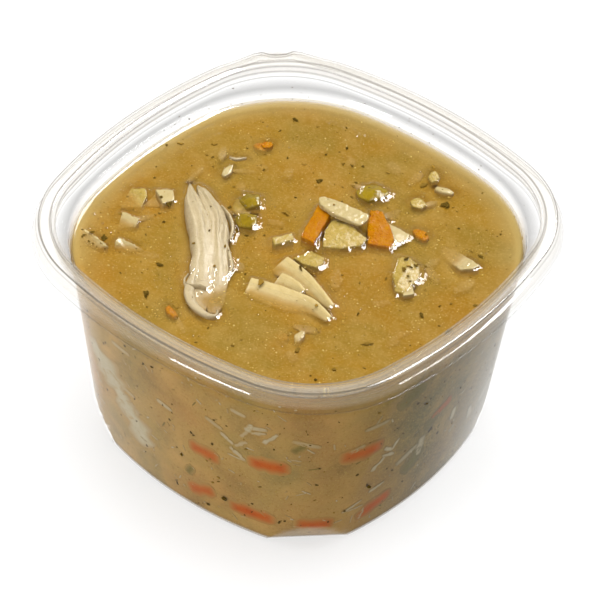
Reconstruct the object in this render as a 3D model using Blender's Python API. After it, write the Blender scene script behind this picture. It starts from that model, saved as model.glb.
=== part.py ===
"""Chicken noodle soup in a clear deli tub.

The tub is a thin clear shell with four bowed sides, round shoulders that turn into flat
corner facets at the base, and a stepped rim with a flared skirt and one lifting tab.
The broth fills it to ten millimetres under the rim, and the toppings float in the broth.
Metres, +Z up. The tub stands on z = 0 with its sides facing the X and Y axes.
"""
import math

import bmesh
import bpy
from mathutils import Matrix, Vector

MM = 0.001

# Tub: driving dimensions
RIM_PLANE = 74.7 * MM        # height of the inner rim edge above the table
RIM_HALF = 60.0 * MM         # centre to the inner rim edge, across the flats
RIM_SIDE_RADIUS = 149.6 * MM
RIM_CORNER_RADIUS = 31.6 * MM
WALL = 0.6 * MM              # thickness of the clear shell

BASE_HALF = 49.1 * MM        # the same three sizes for the outside of the body at the base
BASE_SIDE_RADIUS = 112.4 * MM
BASE_CORNER_RADIUS = 15.4 * MM
BODY_TOP_HALF = 60.5 * MM    # and for the body carried up to the rim plane
BODY_TOP_SIDE_RADIUS = 145.5 * MM
BODY_TOP_CORNER_RADIUS = 45.0 * MM
CORNER_ROUNDING_POWER = 0.8  # how early the corners round out on the way up

FACET_AT_BASE = 52.2 * MM    # centre to the flat corner facet, along the diagonal
FACET_LEAN = 0.53            # how far the facet leans out for each unit of height

FOOT_BEVEL = 1.2 * MM
FOOT_WIDTH = 5.0 * MM
PANEL_RAISE = 0.8 * MM       # the middle of the base stands clear of the table
PANEL_RAMP = 1.5 * MM

# Lifting tab on the corner at (-X, +Y)
TAB_REACH = 74.7 * MM        # centre to the tab's straight edge, along the diagonal
TAB_HALF = 4.9 * MM
TAB_SLOPE = 0.54
NOTCH_DEPTH = 2.5 * MM

# Contents
SOUP_DEPTH_UNDER_RIM = 10.0 * MM
SOUP_LEVEL = RIM_PLANE - SOUP_DEPTH_UNDER_RIM
GAP = 0.3 * MM               # clearance between neighbouring solids
POCKET = 0.45 * MM           # how far a topping's pocket stands off its surface
NOODLE_THICKNESS = 1.6       # toppings are given in millimetres

# Points on each ring: one side, then one corner
SIDE_STEPS = 5
CORNER_FRACTIONS = (-1.0, -0.74, -0.48, -0.25, -0.12, 0.0, 0.12, 0.25, 0.48, 0.74, 1.0)
TAB_QUARTER = 1              # quarters count anticlockwise from the +X side

# Rim profile in millimetres: distance outside the inner rim edge, height from the rim plane,
# and how far that line follows the tab and the notch
LAND_OFFSET = 4.9 * MM
RIM_UNDER = (
    (1.15, -4.6, 0.0, 0.0),   # undercut that grips a lid
    (1.5, -2.4, 0.0, 0.0),
    (1.05, -0.3, 0.0, 0.0),   # bead
    (1.75, 0.42, 0.0, 0.0),
    (4.55, 0.12, 1.0, 1.0),   # land
    (5.05, -0.5, 1.0, 0.0),
    (6.72, -4.95, 1.0, 0.0),  # lip of the skirt
)
RIM_TOP = (
    (7.33, -4.83, 1.0, 0.0),  # lip of the skirt
    (6.5, -2.2, 1.0, 0.0),
    (5.65, -0.1, 1.0, 0.0),
    (4.9, 0.76, 1.0, 1.0),    # outer edge of the land
    (1.45, 1.05, 0.0, 0.0),   # top of the bead
    (0.0, 0.0, 0.0, 0.0),     # inner rim edge
    (0.88, -2.35, 0.0, 0.0),  # undercut
    (0.5, -4.3, 0.0, 0.0),
)
SHOULDER_HEIGHT = 69.4 * MM  # where the tapered body meets the rim's undercut
BODY_HEIGHTS = (FOOT_BEVEL, 6.0 * MM, 13.0 * MM, 22.0 * MM, 38.0 * MM, 54.0 * MM, SHOULDER_HEIGHT)


# ---------------------------------------------------------------------------
# Plan shape of the tub

class Plan:
    """A square with bowed sides, arc corners and, low down, corners cut flat."""

    def __init__(self, half, side_radius, corner_radius, facet=None):
        self.half = half
        self.side_radius = side_radius
        self.corner_radius = corner_radius
        self.facet = facet
        bow = side_radius - half
        reach = side_radius - corner_radius
        self.centre = (-bow + math.sqrt(2.0 * reach**2 - bow**2)) / 2.0
        self.tangent = math.atan2(self.centre, self.centre + bow)

    def side_point(self, angle):
        """Point on the +X side, at an angle about that side's centre."""
        x = self.half - self.side_radius + self.side_radius * math.cos(angle)
        return x, self.side_radius * math.sin(angle)

    def round_reach(self, across):
        """Distance along the diagonal at a sideways distance from it, before any facet."""
        across = abs(across)
        join_x, join_y = self.side_point(self.tangent)
        if across <= (join_x - join_y) / math.sqrt(2.0):
            return self.centre * math.sqrt(2.0) + math.sqrt(self.corner_radius**2 - across**2)
        middle = (self.half - self.side_radius) / math.sqrt(2.0)
        return middle + math.sqrt(self.side_radius**2 - (across - middle) ** 2)

    def corner_start(self):
        """Angle on the side where the corner, or its flat facet, begins."""
        if self.facet is None:
            return self.tangent
        bow = self.side_radius - self.half
        cosine = (self.facet * math.sqrt(2.0) + bow) / (self.side_radius * math.sqrt(2.0))
        return min(self.tangent, math.pi / 4.0 - math.acos(min(1.0, cosine)))

    def ring(self, height, tab=0.0, notch=0.0):
        """Closed ring of points; tab and notch say how far it follows those two shapes."""
        points = []
        start = self.corner_start()
        end_x, end_y = self.side_point(start)
        across_end = (end_x - end_y) / math.sqrt(2.0)
        for quarter in range(4):
            turn = Matrix.Rotation(quarter * math.pi / 2.0, 3, "Z")
            for step in range(SIDE_STEPS):
                angle = start * (2.0 * step / SIDE_STEPS - 1.0)
                points.append(turn @ Vector((*self.side_point(angle), height)))
            for fraction in CORNER_FRACTIONS[:-1]:
                across = -fraction * across_end
                along = self.round_reach(across)
                if self.facet is not None:
                    along = min(along, self.facet)
                if quarter == TAB_QUARTER:
                    along += tab * tab_push(across) - notch * notch_depth(across)
                x = (along + across) / math.sqrt(2.0)
                y = (along - across) / math.sqrt(2.0)
                points.append(turn @ Vector((x, y, height)))
        return points


def rim_plan(offset):
    """Plan of the rim, a distance outside its inner edge."""
    return Plan(RIM_HALF + offset, RIM_SIDE_RADIUS + offset, RIM_CORNER_RADIUS + offset)


LAND_EDGE = rim_plan(LAND_OFFSET)


def tab_push(across):
    """How far the tab carries the flange out past its round corner."""
    tab_line = TAB_REACH - TAB_SLOPE * max(0.0, abs(across) - TAB_HALF)
    return max(0.0, tab_line - LAND_EDGE.round_reach(across))


def notch_depth(across):
    """Half-moon dip in the tab's edge, for a fingernail."""
    if abs(across) >= TAB_HALF:
        return 0.0
    return NOTCH_DEPTH * math.sqrt(1.0 - (across / TAB_HALF) ** 2)


def body_plan(height, inset=0.0):
    """Plan of the body's outside at a height, or a distance inside it."""
    rise = max(0.0, height / RIM_PLANE)
    half = BASE_HALF + (BODY_TOP_HALF - BASE_HALF) * rise
    side = BASE_SIDE_RADIUS + (BODY_TOP_SIDE_RADIUS - BASE_SIDE_RADIUS) * rise
    growth = (BODY_TOP_CORNER_RADIUS - BASE_CORNER_RADIUS) * rise**CORNER_ROUNDING_POWER
    corner = BASE_CORNER_RADIUS + growth
    facet = FACET_AT_BASE + FACET_LEAN * height
    return Plan(half - inset, side - inset, max(corner - inset, 2.0 * MM), facet - inset)


# ---------------------------------------------------------------------------
# Building blocks

def clear_scene():
    for existing in list(bpy.data.objects):
        bpy.data.objects.remove(existing, do_unlink=True)


def material(name, colour, roughness, alpha=1.0):
    made = bpy.data.materials.new(name)
    made.use_nodes = True
    shader = made.node_tree.nodes["Principled BSDF"]
    shader.inputs["Base Color"].default_value = (*colour, 1.0)
    shader.inputs["Roughness"].default_value = roughness
    shader.inputs["Metallic"].default_value = 0.0
    shader.inputs["Alpha"].default_value = alpha
    return made


def loft(rings):
    """Closed mesh through a stack of rings, with a flat face over the first and the last.

    Each four-sided cell is split along the diagonal that bulges out more, so that one shell
    nested in another keeps parallel faces.
    """
    mesh = bmesh.new()
    rows = [[mesh.verts.new(point) for point in ring] for ring in rings]
    for near, far in zip(rows, rows[1:]):
        count = len(near)
        for i in range(count):
            j = (i + 1) % count
            straight = (near[i].co + far[j].co).xy.length
            crossed = (near[j].co + far[i].co).xy.length
            if straight >= crossed:
                mesh.faces.new((near[i], near[j], far[j]))
                mesh.faces.new((near[i], far[j], far[i]))
            else:
                mesh.faces.new((near[i], near[j], far[i]))
                mesh.faces.new((near[j], far[j], far[i]))
    mesh.faces.new(list(reversed(rows[0])))
    mesh.faces.new(rows[-1])
    return mesh


def add_object(name, mesh, finish, smooth_angle=35.0):
    data = bpy.data.meshes.new(name)
    bmesh.ops.recalc_face_normals(mesh, faces=mesh.faces)
    mesh.to_mesh(data)
    mesh.free()
    data.materials.append(finish)
    data.shade_smooth()
    data.set_sharp_from_angle(angle=math.radians(smooth_angle))
    made = bpy.data.objects.new(name, data)
    bpy.context.scene.collection.objects.link(made)
    return made


# ---------------------------------------------------------------------------
# Tub

def floor_rings(inset, lift):
    """Rings across the base, from its raised middle panel out to the edge of the foot."""
    edge = body_plan(0.0, inset + FOOT_BEVEL)
    foot_inside = body_plan(0.0, inset + FOOT_WIDTH)
    panel = body_plan(0.0, inset + FOOT_WIDTH + PANEL_RAMP)
    return [panel.ring(lift + PANEL_RAISE), foot_inside.ring(lift), edge.ring(lift)]


def rim_ring(offset, height, tab, notch):
    return rim_plan(offset * MM).ring(RIM_PLANE + height * MM, tab, notch)


def build_tub(finish):
    rings = floor_rings(0.0, 0.0)
    rings += [body_plan(height).ring(height) for height in BODY_HEIGHTS]
    rings += [rim_ring(*line) for line in RIM_UNDER + RIM_TOP]
    rings += [body_plan(height, WALL).ring(height) for height in reversed(BODY_HEIGHTS[1:])]
    rings.append(body_plan(FOOT_BEVEL + WALL, WALL).ring(FOOT_BEVEL + WALL))
    rings += reversed(floor_rings(WALL, WALL))
    return add_object("tub", loft(rings), finish)


# ---------------------------------------------------------------------------
# Toppings
# Each is placed by its plan position in millimetres, and by how far its top stands over the
# broth. A turn is in degrees anticlockwise from +X.

def block_outline(centre, turn, length, width, taper=1.0):
    """Four corners of a cut block; taper narrows its far end."""
    angle = math.radians(turn)
    along = Vector((math.cos(angle), math.sin(angle)))
    side = Vector((-along.y, along.x))
    middle = Vector(centre)
    near, far = middle - along * length / 2.0, middle + along * length / 2.0
    half = width / 2.0
    return [near - side * half, far - side * half * taper, far + side * half * taper,
            near + side * half]


def slab(name, outline, top, lean, thickness, finish, rounding=0.7, segments=2):
    """A flat piece with its edges rounded, lying at a lean in the broth."""
    mesh = bmesh.new()
    middle = sum((Vector(point) for point in outline), Vector((0.0, 0.0))) / len(outline)
    rows = []
    for level in (top, top - thickness):
        row = []
        for x, y in outline:
            height = level + lean[0] * (x - middle.x) + lean[1] * (y - middle.y)
            row.append(mesh.verts.new((x * MM, y * MM, SOUP_LEVEL + height * MM)))
        rows.append(row)
    upper, lower = rows
    mesh.faces.new(upper)
    mesh.faces.new(list(reversed(lower)))
    for i in range(len(outline)):
        j = (i + 1) % len(outline)
        mesh.faces.new((upper[i], lower[i], lower[j], upper[j]))
    bmesh.ops.recalc_face_normals(mesh, faces=mesh.faces)
    bmesh.ops.bevel(mesh, geom=mesh.edges[:], offset=rounding * MM, segments=segments,
                    profile=0.6, affect="EDGES", clamp_overlap=True)
    return add_object(name, mesh, finish, 60.0)


def block(name, centre, turn, length, width, taper, top, lean, thickness, finish):
    """A cut of carrot or celery."""
    return slab(name, block_outline(centre, turn, length, width, taper), top, lean, thickness,
                finish)


def noodle_cut(name, top, lean, finish, outline):
    """A short cut of noodle that shows a corner or an end."""
    return slab(name, outline, top, lean, NOODLE_THICKNESS, finish, 0.45, 1)


def ribbon(name, start, end, width, top, bow, drop, finish):
    """A flat noodle hung from its high far edge, which bows from start to end.

    The near edge sinks into the broth: drop is the slope across it at its two ends.
    """
    steps = 6
    first, last = Vector(start), Vector(end)
    along = last - first
    away = Vector((along.y, -along.x)).normalized()
    half_thick = 0.5 * NOODLE_THICKNESS
    rings = []
    for i in range(steps + 1):
        t = i / steps
        edge = first + along * t - away * bow * 4.0 * t * (1.0 - t)
        slope = math.atan(drop[0] + (drop[1] - drop[0]) * t)
        shrink = 0.8 if i in (0, steps) else 1.0
        middle = edge + away * 0.5 * width * math.cos(slope)
        depth = 0.5 * width * math.sin(slope) + half_thick
        ring = []
        for across, up in ((-1.0, 0.0), (-0.88, 1.0), (0.88, 1.0), (1.0, 0.0), (0.88, -1.0),
                           (-0.88, -1.0)):
            reach = 0.5 * width * across * shrink
            lift = half_thick * up * shrink
            spot = middle + away * (reach * math.cos(slope) + lift * math.sin(slope))
            height = top - depth - reach * math.sin(slope) + lift * math.cos(slope)
            ring.append(Vector((spot.x * MM, spot.y * MM, SOUP_LEVEL + height * MM)))
        rings.append(ring)
    return add_object(name, loft(rings), finish, 50.0)


def celery_slice(name, centre, turn, radius, top, finish):
    """A crescent cut across a celery stick, with ribs down its outer side."""
    steps = 10
    sweep = 185.0
    band = 3.0
    thickness = 2.6
    rib_height = 0.2
    rings = []
    for i in range(steps + 1):
        t = i / steps
        angle = math.radians(turn + sweep * (t - 0.5))
        end_round = 0.45 + 0.55 * math.sqrt(1.0 - (2.0 * t - 1.0) ** 4)
        rib = rib_height * (-1.0) ** i
        ring = []
        for out, up in ((-0.5, -0.3), (-0.36, -0.5), (0.34, -0.5), (0.5, -0.3), (0.5, 0.3),
                        (0.34, 0.5), (-0.36, 0.5), (-0.5, 0.3)):
            reach = radius - 0.5 * band + (out * band + (rib if out > 0.4 else 0.0)) * end_round
            height = top - 0.5 * thickness + up * thickness * (0.5 + 0.5 * end_round)
            x = centre[0] + reach * math.cos(angle)
            y = centre[1] + reach * math.sin(angle)
            ring.append(Vector((x * MM, y * MM, SOUP_LEVEL + height * MM)))
        rings.append(ring)
    return add_object(name, loft(rings), finish, 50.0)


def shredded_meat(name, stations, finish):
    """Torn strip of meat through (x, y, half width, top, bottom), ridged by its fibres."""
    ridges = 10
    rings = []
    for i, (x, y, half, top, bottom) in enumerate(stations):
        before = stations[max(i - 1, 0)]
        after = stations[min(i + 1, len(stations) - 1)]
        along = Vector((after[0] - before[0], after[1] - before[1])).normalized()
        side = Vector((-along.y, along.x))
        section = []
        for k in range(ridges + 1):
            across = 2.0 * k / ridges - 1.0
            crown = math.sqrt(1.0 - across**2)
            fibre = 1.0 - 0.26 * (k % 2) * crown
            section.append((across, bottom + (top - bottom) * (0.35 + 0.65 * crown) * fibre))
        for across in (0.8, 0.4, 0.0, -0.4, -0.8):
            section.append((across, bottom + 0.25 * (top - bottom) * abs(across) ** 3))
        ring = []
        for across, height in section:
            spot = Vector((x, y)) + side * across * half
            ring.append(Vector((spot.x * MM, spot.y * MM, SOUP_LEVEL + height * MM)))
        rings.append(ring)
    return add_object(name, loft(rings), finish, 60.0)


def build_toppings(meat, carrot, noodle, celery, pale):
    """Every piece that shows at the surface, listed from the tab corner forwards."""
    level = (0.0, 0.0)
    return [
        celery_slice("celery_back", (1.2, 29.6), 60.0, 5.0, 0.7, celery),
        celery_slice("celery_pair_far", (-22.6, 4.4), 40.0, 4.0, 0.7, celery),
        celery_slice("celery_pair_near", (-18.0, -1.6), -20.0, 3.8, 0.7, celery),
        block("carrot_left", (-1.2, 8.6), -70.0, 14.5, 5.0, 1.0, 1.8, (0.0, 0.03), 4.6, carrot),
        block("carrot_right", (13.3, 19.2), -49.0, 13.5, 6.6, 1.1, 1.9, level, 4.8, carrot),
        block("noodle_bridge", (1.6, 17.2), 3.0, 15.6, 5.4, 1.0, 4.3, level, 1.9, noodle),
        block("celery_middle", (7.6, 10.0), 27.0, 10.6, 6.8, 0.8, 1.1, (0.0, 0.05), 3.6, pale),
        block("celery_cube", (-2.6, -2.8), -45.0, 8.6, 6.0, 1.0, 0.9, (-0.04, 0.04), 5.0, pale),
        block("celery_front", (7.2, -1.6), -20.0, 7.4, 6.2, 0.85, 1.0, (0.05, 0.0), 3.6, pale),
        block("celery_herbed", (30.2, 9.6), -65.0, 13.2, 7.0, 0.9, 1.7, (0.08, 0.0), 4.4, pale),
        block("celery_left", (-47.2, -15.6), -58.0, 9.0, 6.6, 0.8, 0.4, (0.0, 0.02), 3.4, pale),
        ribbon("noodle_wide", (1.4, -6.6), (24.0, -13.6), 6.0, 1.5, 1.6, (0.3, 0.55), noodle),
        ribbon("noodle_short", (5.2, -13.0), (14.6, -14.7), 2.0, 1.3, 0.2, (0.3, 0.5), noodle),
        ribbon("noodle_long", (-0.4, -19.4), (27.0, -18.6), 6.0, 1.5, 1.4, (0.25, 0.7), noodle),
        noodle_cut("noodle_behind", 0.9, level, noodle,
                   ((15.0, 24.6), (21.8, 23.9), (22.0, 19.4), (19.4, 19.4))),
        noodle_cut("noodle_under_herbs", 0.4, level, noodle,
                   ((36.0, 7.9), (39.0, 5.2), (37.0, 1.8), (36.7, 4.6))),
        noodle_cut("noodle_right", 0.7, (0.08, -0.05), noodle,
                   ((37.8, 23.4), (43.6, 27.4), (40.6, 20.8))),
        noodle_cut("noodle_corner", 0.5, (0.05, 0.06), noodle,
                   ((-46.0, -9.0), (-42.0, -5.6), (-38.4, -8.6), (-40.2, -13.0))),
        noodle_cut("noodle_left_upper", 0.5, (0.0, 0.12), noodle,
                   ((-46.2, -23.4), (-40.0, -22.0), (-39.4, -27.0), (-43.6, -28.6))),
        noodle_cut("noodle_left_wedge", 0.7, level, noodle,
                   ((-49.0, -35.6), (-40.4, -36.8), (-47.4, -39.0))),
        noodle_cut("noodle_left_lower", 0.5, (-0.04, 0.0), noodle,
                   ((-39.2, -33.4), (-38.2, -31.2), (-31.4, -29.4), (-33.4, -33.4))),
        shredded_meat("chicken_shred", (
            (-39.6, -0.8, 0.7, 0.9, -0.8), (-36.0, -3.4, 3.2, 3.0, -1.6),
            (-30.3, -7.2, 5.7, 4.6, -2.6), (-24.6, -11.6, 6.3, 5.0, -3.0),
            (-19.2, -16.6, 5.7, 4.2, -3.0), (-14.2, -22.0, 5.2, 2.8, -3.0),
            (-10.2, -27.6, 4.6, 1.2, -3.0), (-7.6, -32.6, 3.3, 0.7, -2.6),
            (-4.8, -36.4, 2.1, 0.7, -2.0), (-0.8, -38.9, 1.6, 0.7, -1.7),
            (3.0, -38.5, 0.7, 0.4, -1.0)), meat),
    ]


# ---------------------------------------------------------------------------
# Broth

def pocket_for(topping):
    """The topping's shape grown by the pocket clearance, to cut it out of the broth."""
    data = topping.data.copy()
    normals = [vertex.normal.copy() for vertex in data.vertices]
    for vertex, normal in zip(data.vertices, normals):
        vertex.co += normal * POCKET
    cutter = bpy.data.objects.new("pocket_" + topping.name, data)
    cutter.hide_render = True
    cutter.display_type = "WIRE"
    return cutter


def build_soup(finish, toppings):
    inset = WALL + GAP
    rings = floor_rings(inset, inset)
    heights = [FOOT_BEVEL + inset]
    heights += [height for height in BODY_HEIGHTS[1:] if height < SOUP_LEVEL]
    heights.append(SOUP_LEVEL)
    rings += [body_plan(height, inset).ring(height) for height in heights]
    soup = add_object("soup", loft(rings), finish)
    pockets = bpy.data.collections.new("pockets")
    bpy.context.scene.collection.children.link(pockets)
    for topping in toppings:
        pockets.objects.link(pocket_for(topping))
    cut = soup.modifiers.new("pockets", "BOOLEAN")
    cut.operation = "DIFFERENCE"
    cut.operand_type = "COLLECTION"
    cut.collection = pockets
    cut.solver = "EXACT"
    return soup


def main():
    clear_scene()
    clear_plastic = material("clear_plastic", (0.93, 0.95, 0.95), 0.06, 0.25)
    broth = material("broth", (0.52, 0.36, 0.11), 0.12)
    meat = material("chicken", (0.82, 0.66, 0.43), 0.45)
    carrot = material("carrot", (0.80, 0.30, 0.03), 0.3)
    noodle = material("noodle", (0.80, 0.66, 0.33), 0.32)
    celery = material("celery", (0.42, 0.40, 0.05), 0.3)
    pale = material("pale_celery", (0.66, 0.56, 0.20), 0.3)
    build_tub(clear_plastic)
    toppings = build_toppings(meat, carrot, noodle, celery, pale)
    build_soup(broth, toppings)


main()
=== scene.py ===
# %% [markdown]
# # Chicken noodle soup in a clear tub
#
# A tub of soup is a thin clear shell, a cloudy liquid, and a crowd of soft wet pieces that
# float in it or press against its wall. Each is built as its own kind of mesh. The packed
# model gives every size and place, and this file adds the fine shapes and the finishes.

# %% Load the frame
import functools
import math
import random

import bmesh
import bpy
import numpy as np
from mathutils import Matrix, Vector, geometry, kdtree, noise


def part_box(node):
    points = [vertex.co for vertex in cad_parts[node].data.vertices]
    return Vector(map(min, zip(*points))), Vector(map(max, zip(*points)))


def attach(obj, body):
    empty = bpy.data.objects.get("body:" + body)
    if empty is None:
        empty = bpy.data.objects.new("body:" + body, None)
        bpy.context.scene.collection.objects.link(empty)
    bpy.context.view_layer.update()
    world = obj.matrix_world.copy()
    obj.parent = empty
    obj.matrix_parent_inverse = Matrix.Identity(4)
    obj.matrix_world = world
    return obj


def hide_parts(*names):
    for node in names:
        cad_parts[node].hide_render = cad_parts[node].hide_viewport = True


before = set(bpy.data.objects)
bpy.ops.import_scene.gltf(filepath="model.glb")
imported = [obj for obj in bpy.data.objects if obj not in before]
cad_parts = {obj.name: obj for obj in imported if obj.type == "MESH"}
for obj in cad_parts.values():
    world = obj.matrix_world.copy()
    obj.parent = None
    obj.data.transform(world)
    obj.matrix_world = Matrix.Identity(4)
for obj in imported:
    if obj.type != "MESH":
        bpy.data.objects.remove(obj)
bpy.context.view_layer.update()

MM = 0.001

# %% [markdown]
# ## Sizes read from the frame
#
# The broth's top gives the level that everything floats at, and the tub's box gives its
# height. The helpers below work in millimetres, because soup is made of small things.

# %% Levels
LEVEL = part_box("soup")[1][2] / MM
TUB_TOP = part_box("tub")[1][2] / MM
RIM_PLANE = LEVEL + 10.0
print("broth level", round(LEVEL, 2), "mm, tub", round(TUB_TOP, 2), "mm high")

# %% [markdown]
# ## Helpers for meshes
#
# Every piece ends up as one mesh object that rides on the only body. A float attribute called
# sunk says how many millimetres of broth lie over a point, so that one material can let a
# piece fade into the cloudy liquid as it goes deeper.


# %% Mesh helpers
def in_scene(name, data):
    """A new object in the scene, made from a mesh, a light or a camera."""
    made = bpy.data.objects.new(name, data)
    bpy.context.scene.collection.objects.link(made)
    return made


def flat(rings):
    """Every point of every ring, in order."""
    return [point for ring in rings for point in ring]


def new_piece(name, points, faces, finish, slot=None, smooth=True, **attributes):
    """A mesh object from points in millimetres, with float attributes on its points."""
    data = bpy.data.meshes.new(name)
    data.from_pydata([tuple(value * MM for value in point) for point in points], [], faces)
    data.update()
    for key, values in attributes.items():
        layer = data.attributes.new(key, "FLOAT", "POINT")
        layer.data.foreach_set("value", np.asarray(values, dtype=np.float32))
    if smooth:
        data.shade_smooth()
    data.materials.append(finish)
    made = in_scene(name, data)
    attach(made, "root")
    return made


def grid_faces(rows, columns, closed=True):
    """Quads between rows of points, each row closed into a ring or left open."""
    faces = []
    span = columns if closed else columns - 1
    for row in range(rows - 1):
        for column in range(span):
            a = row * columns + column
            b = row * columns + (column + 1) % columns
            faces.append((a, b, b + columns, a + columns))
    return faces


def capped_faces(rows, columns):
    """A tube's faces: quads round it and a flat cap at each end."""
    faces = grid_faces(rows, columns)
    faces.append(tuple(reversed(range(columns))))
    faces.append(tuple(range((rows - 1) * columns, rows * columns)))
    return faces


def smooth_path(points, count):
    """Points on a Catmull-Rom curve through the given ones, evenly spread by index."""
    points = np.asarray(points, dtype=float)
    ends = np.vstack([2 * points[0] - points[1], points, 2 * points[-1] - points[-2]])
    result = []
    for value in np.linspace(0.0, len(points) - 1.0, count):
        i = min(int(value), len(points) - 2)
        t = value - i
        a, b, c, d = ends[i:i + 4]
        result.append(0.5 * (2 * b + (c - a) * t + (2 * a - 5 * b + 4 * c - d) * t * t
                             + (3 * b - a - 3 * c + d) * t**3))
    return np.array(result)


def wave(point, size, seed=0.0):
    """Smooth noise from -1 to 1 whose bumps are about size millimetres across."""
    return noise.noise(Vector((point[0] / size + seed, point[1] / size, point[2] / size)))

# %% Many small shapes in one mesh
# painted shade: the soup, and what lies against its wall, are painted darker towards one side, where
# less light falls
SHADE_TILT, SHADE_FROM, SHADE_OVER = 0.6, 27.0, 20.0      # where the soup turns dark, in mm


def herby_share(x, y, _height):
    """How much painted shade darkens the soup at a point: all of it at one side."""
    return min(1.0, max(0.0, (x + SHADE_TILT * y - SHADE_FROM) / SHADE_OVER))


class Heap:
    """Collects many small shapes of one kind, to become a single piece."""

    def __init__(self):
        self.points, self.faces, self.sunk = [], [], []

    def add(self, points, faces, sunk):
        start = len(self.points)
        self.points += [tuple(point) for point in points]
        self.faces += [tuple(start + corner for corner in face) for face in faces]
        self.sunk += list(sunk)

    def piece(self, name, finish, slot=None, smooth=True):
        # each piece also carries how much painted shade falls on it at the soup's dark side
        made = new_piece(name, self.points, self.faces, finish, slot, smooth, sunk=self.sunk,
                         herby=[herby_share(*point) for point in self.points])
        print(name + ":", len(self.faces), "faces")
        return made


def depths(points, extra=0.0):
    """How many millimetres of broth lie over each point."""
    return [max(0.0, LEVEL - point[2]) + extra for point in points]


# %% [markdown]
# ## Helpers for materials
#
# A finish is a small node tree. The wrapper below adds a node and joins it in one line each,
# so that a recipe reads as a list of what the finish is made of.


# %% Material helpers
class Recipe:
    """A material and short ways to add nodes to it."""

    def __init__(self, name):
        self.material = bpy.data.materials.new(name)
        self.material.use_nodes = True
        self.tree = self.material.node_tree
        self.shader = self.tree.nodes["Principled BSDF"]
        self.place = self.add("ShaderNodeTexCoord").outputs["Object"]

    def add(self, kind, **settings):
        node = self.tree.nodes.new(kind)
        for key, value in settings.items():
            setattr(node, key, value)
        return node

    def join(self, source, target):
        self.tree.links.new(source, target)

    def noise(self, size, detail=3.0, rough=0.55, stretch=(1.0, 1.0, 1.0), warp=0.0):
        """Noise whose features are about size millimetres across."""
        scaled = self.add("ShaderNodeMapping")
        scaled.inputs["Scale"].default_value = stretch
        self.join(self.place, scaled.inputs["Vector"])
        node = self.add("ShaderNodeTexNoise")
        node.inputs["Scale"].default_value = 1.0 / (size * MM)
        node.inputs["Detail"].default_value = detail
        node.inputs["Roughness"].default_value = rough
        node.inputs["Distortion"].default_value = warp
        self.join(scaled.outputs["Vector"], node.inputs["Vector"])
        return node.outputs["Fac"]

    def spots(self, size, reach):
        """Round spots on a jittered lattice: 1 in a spot's middle, 0 past its reach."""
        node = self.add("ShaderNodeTexVoronoi")
        node.inputs["Scale"].default_value = 1.0 / (size * MM)
        self.join(self.place, node.inputs["Vector"])
        return self.span(node.outputs["Distance"], reach, 0.0)

    def span(self, source, low, high, to_low=0.0, to_high=1.0):
        """Map a range of values to another, without going past its ends."""
        node = self.add("ShaderNodeMapRange")
        for key, value in zip(("From Min", "From Max", "To Min", "To Max"),
                              (low, high, to_low, to_high)):
            node.inputs[key].default_value = value
        self.join(source, node.inputs["Value"])
        return node.outputs["Result"]

    def math(self, operation, first, second):
        node = self.add("ShaderNodeMath", operation=operation)
        for socket, value in zip(node.inputs, (first, second)):
            if isinstance(value, (int, float)):
                socket.default_value = value
            else:
                self.join(value, socket)
        return node.outputs["Value"]

    def blend(self, amount, first, second):
        """A colour between two, by an amount from 0 to 1."""
        node = self.add("ShaderNodeMix", data_type="RGBA")
        for socket, value in ((node.inputs["Factor"], amount), (node.inputs["A"], first),
                              (node.inputs["B"], second)):
            if isinstance(value, tuple):
                socket.default_value = (*value, 1.0)
            elif isinstance(value, float):
                socket.default_value = value
            else:
                self.join(value, socket)
        return node.outputs["Result"]

    def attribute(self, name):
        return self.add("ShaderNodeAttribute", attribute_name=name).outputs["Fac"]

    def facing(self):
        """How far a surface turns away from the line of sight, from 0 to 1."""
        node = self.add("ShaderNodeLayerWeight")
        node.inputs["Blend"].default_value = 0.5
        return node.outputs["Facing"]

    def see_through(self, colour=None):
        """A shader that lets light through, tinted if there is a colour."""
        node = self.add("ShaderNodeBsdfTransparent")
        if isinstance(colour, tuple):
            node.inputs["Color"].default_value = (*colour, 1.0)
        elif colour is not None:
            self.join(colour, node.inputs["Color"])
        return node.outputs["BSDF"]

    def mirror(self, rough, relief, colour=None):
        """A shader that only mirrors."""
        node = self.add("ShaderNodeBsdfGlossy")
        node.inputs["Roughness"].default_value = rough
        if colour is not None:
            node.inputs["Color"].default_value = (*colour, 1.0)
        self.join(relief, node.inputs["Normal"])
        return node.outputs["BSDF"]

    def mix(self, amount, first, second):
        """A shader between two, by an amount from 0 to 1."""
        node = self.add("ShaderNodeMixShader")
        for socket, source in zip(node.inputs, (amount, first, second)):
            self.join(source, socket)
        return node.outputs["Shader"]

    def surface(self, shader):
        """Make a shader the surface, and drop the plain one if it isn't part of it."""
        self.join(shader, self.tree.nodes["Material Output"].inputs["Surface"])
        if not self.shader.outputs["BSDF"].links:
            self.tree.nodes.remove(self.shader)
        return self.material

    def bump(self, height, depth, under=None):
        """Relief of a depth in millimetres; under is a bump that this one lies on."""
        node = self.add("ShaderNodeBump")
        node.inputs["Distance"].default_value = depth * MM
        self.join(height, node.inputs["Height"])
        if under is not None:
            self.join(under, node.inputs["Normal"])
        return node.outputs["Normal"]

    def finish(self, colour, rough, normal=None, **settings):
        """Join colour, roughness and relief to the shader, and set its plain numbers."""
        self.join(colour, self.shader.inputs["Base Color"])
        if isinstance(rough, float):
            self.shader.inputs["Roughness"].default_value = rough
        else:
            self.join(rough, self.shader.inputs["Roughness"])
        if normal is not None:
            self.join(normal, self.shader.inputs["Normal"])
        for key, value in settings.items():
            self.shader.inputs[key.replace("_", " ")].default_value = value
        return self.material


# %% [markdown]
# ## Camera
#
# The camera looks down into the tub from the corner opposite the lifting tab, far enough away
# that the far rim is hardly smaller than the near one. A long lens does that.

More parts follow.
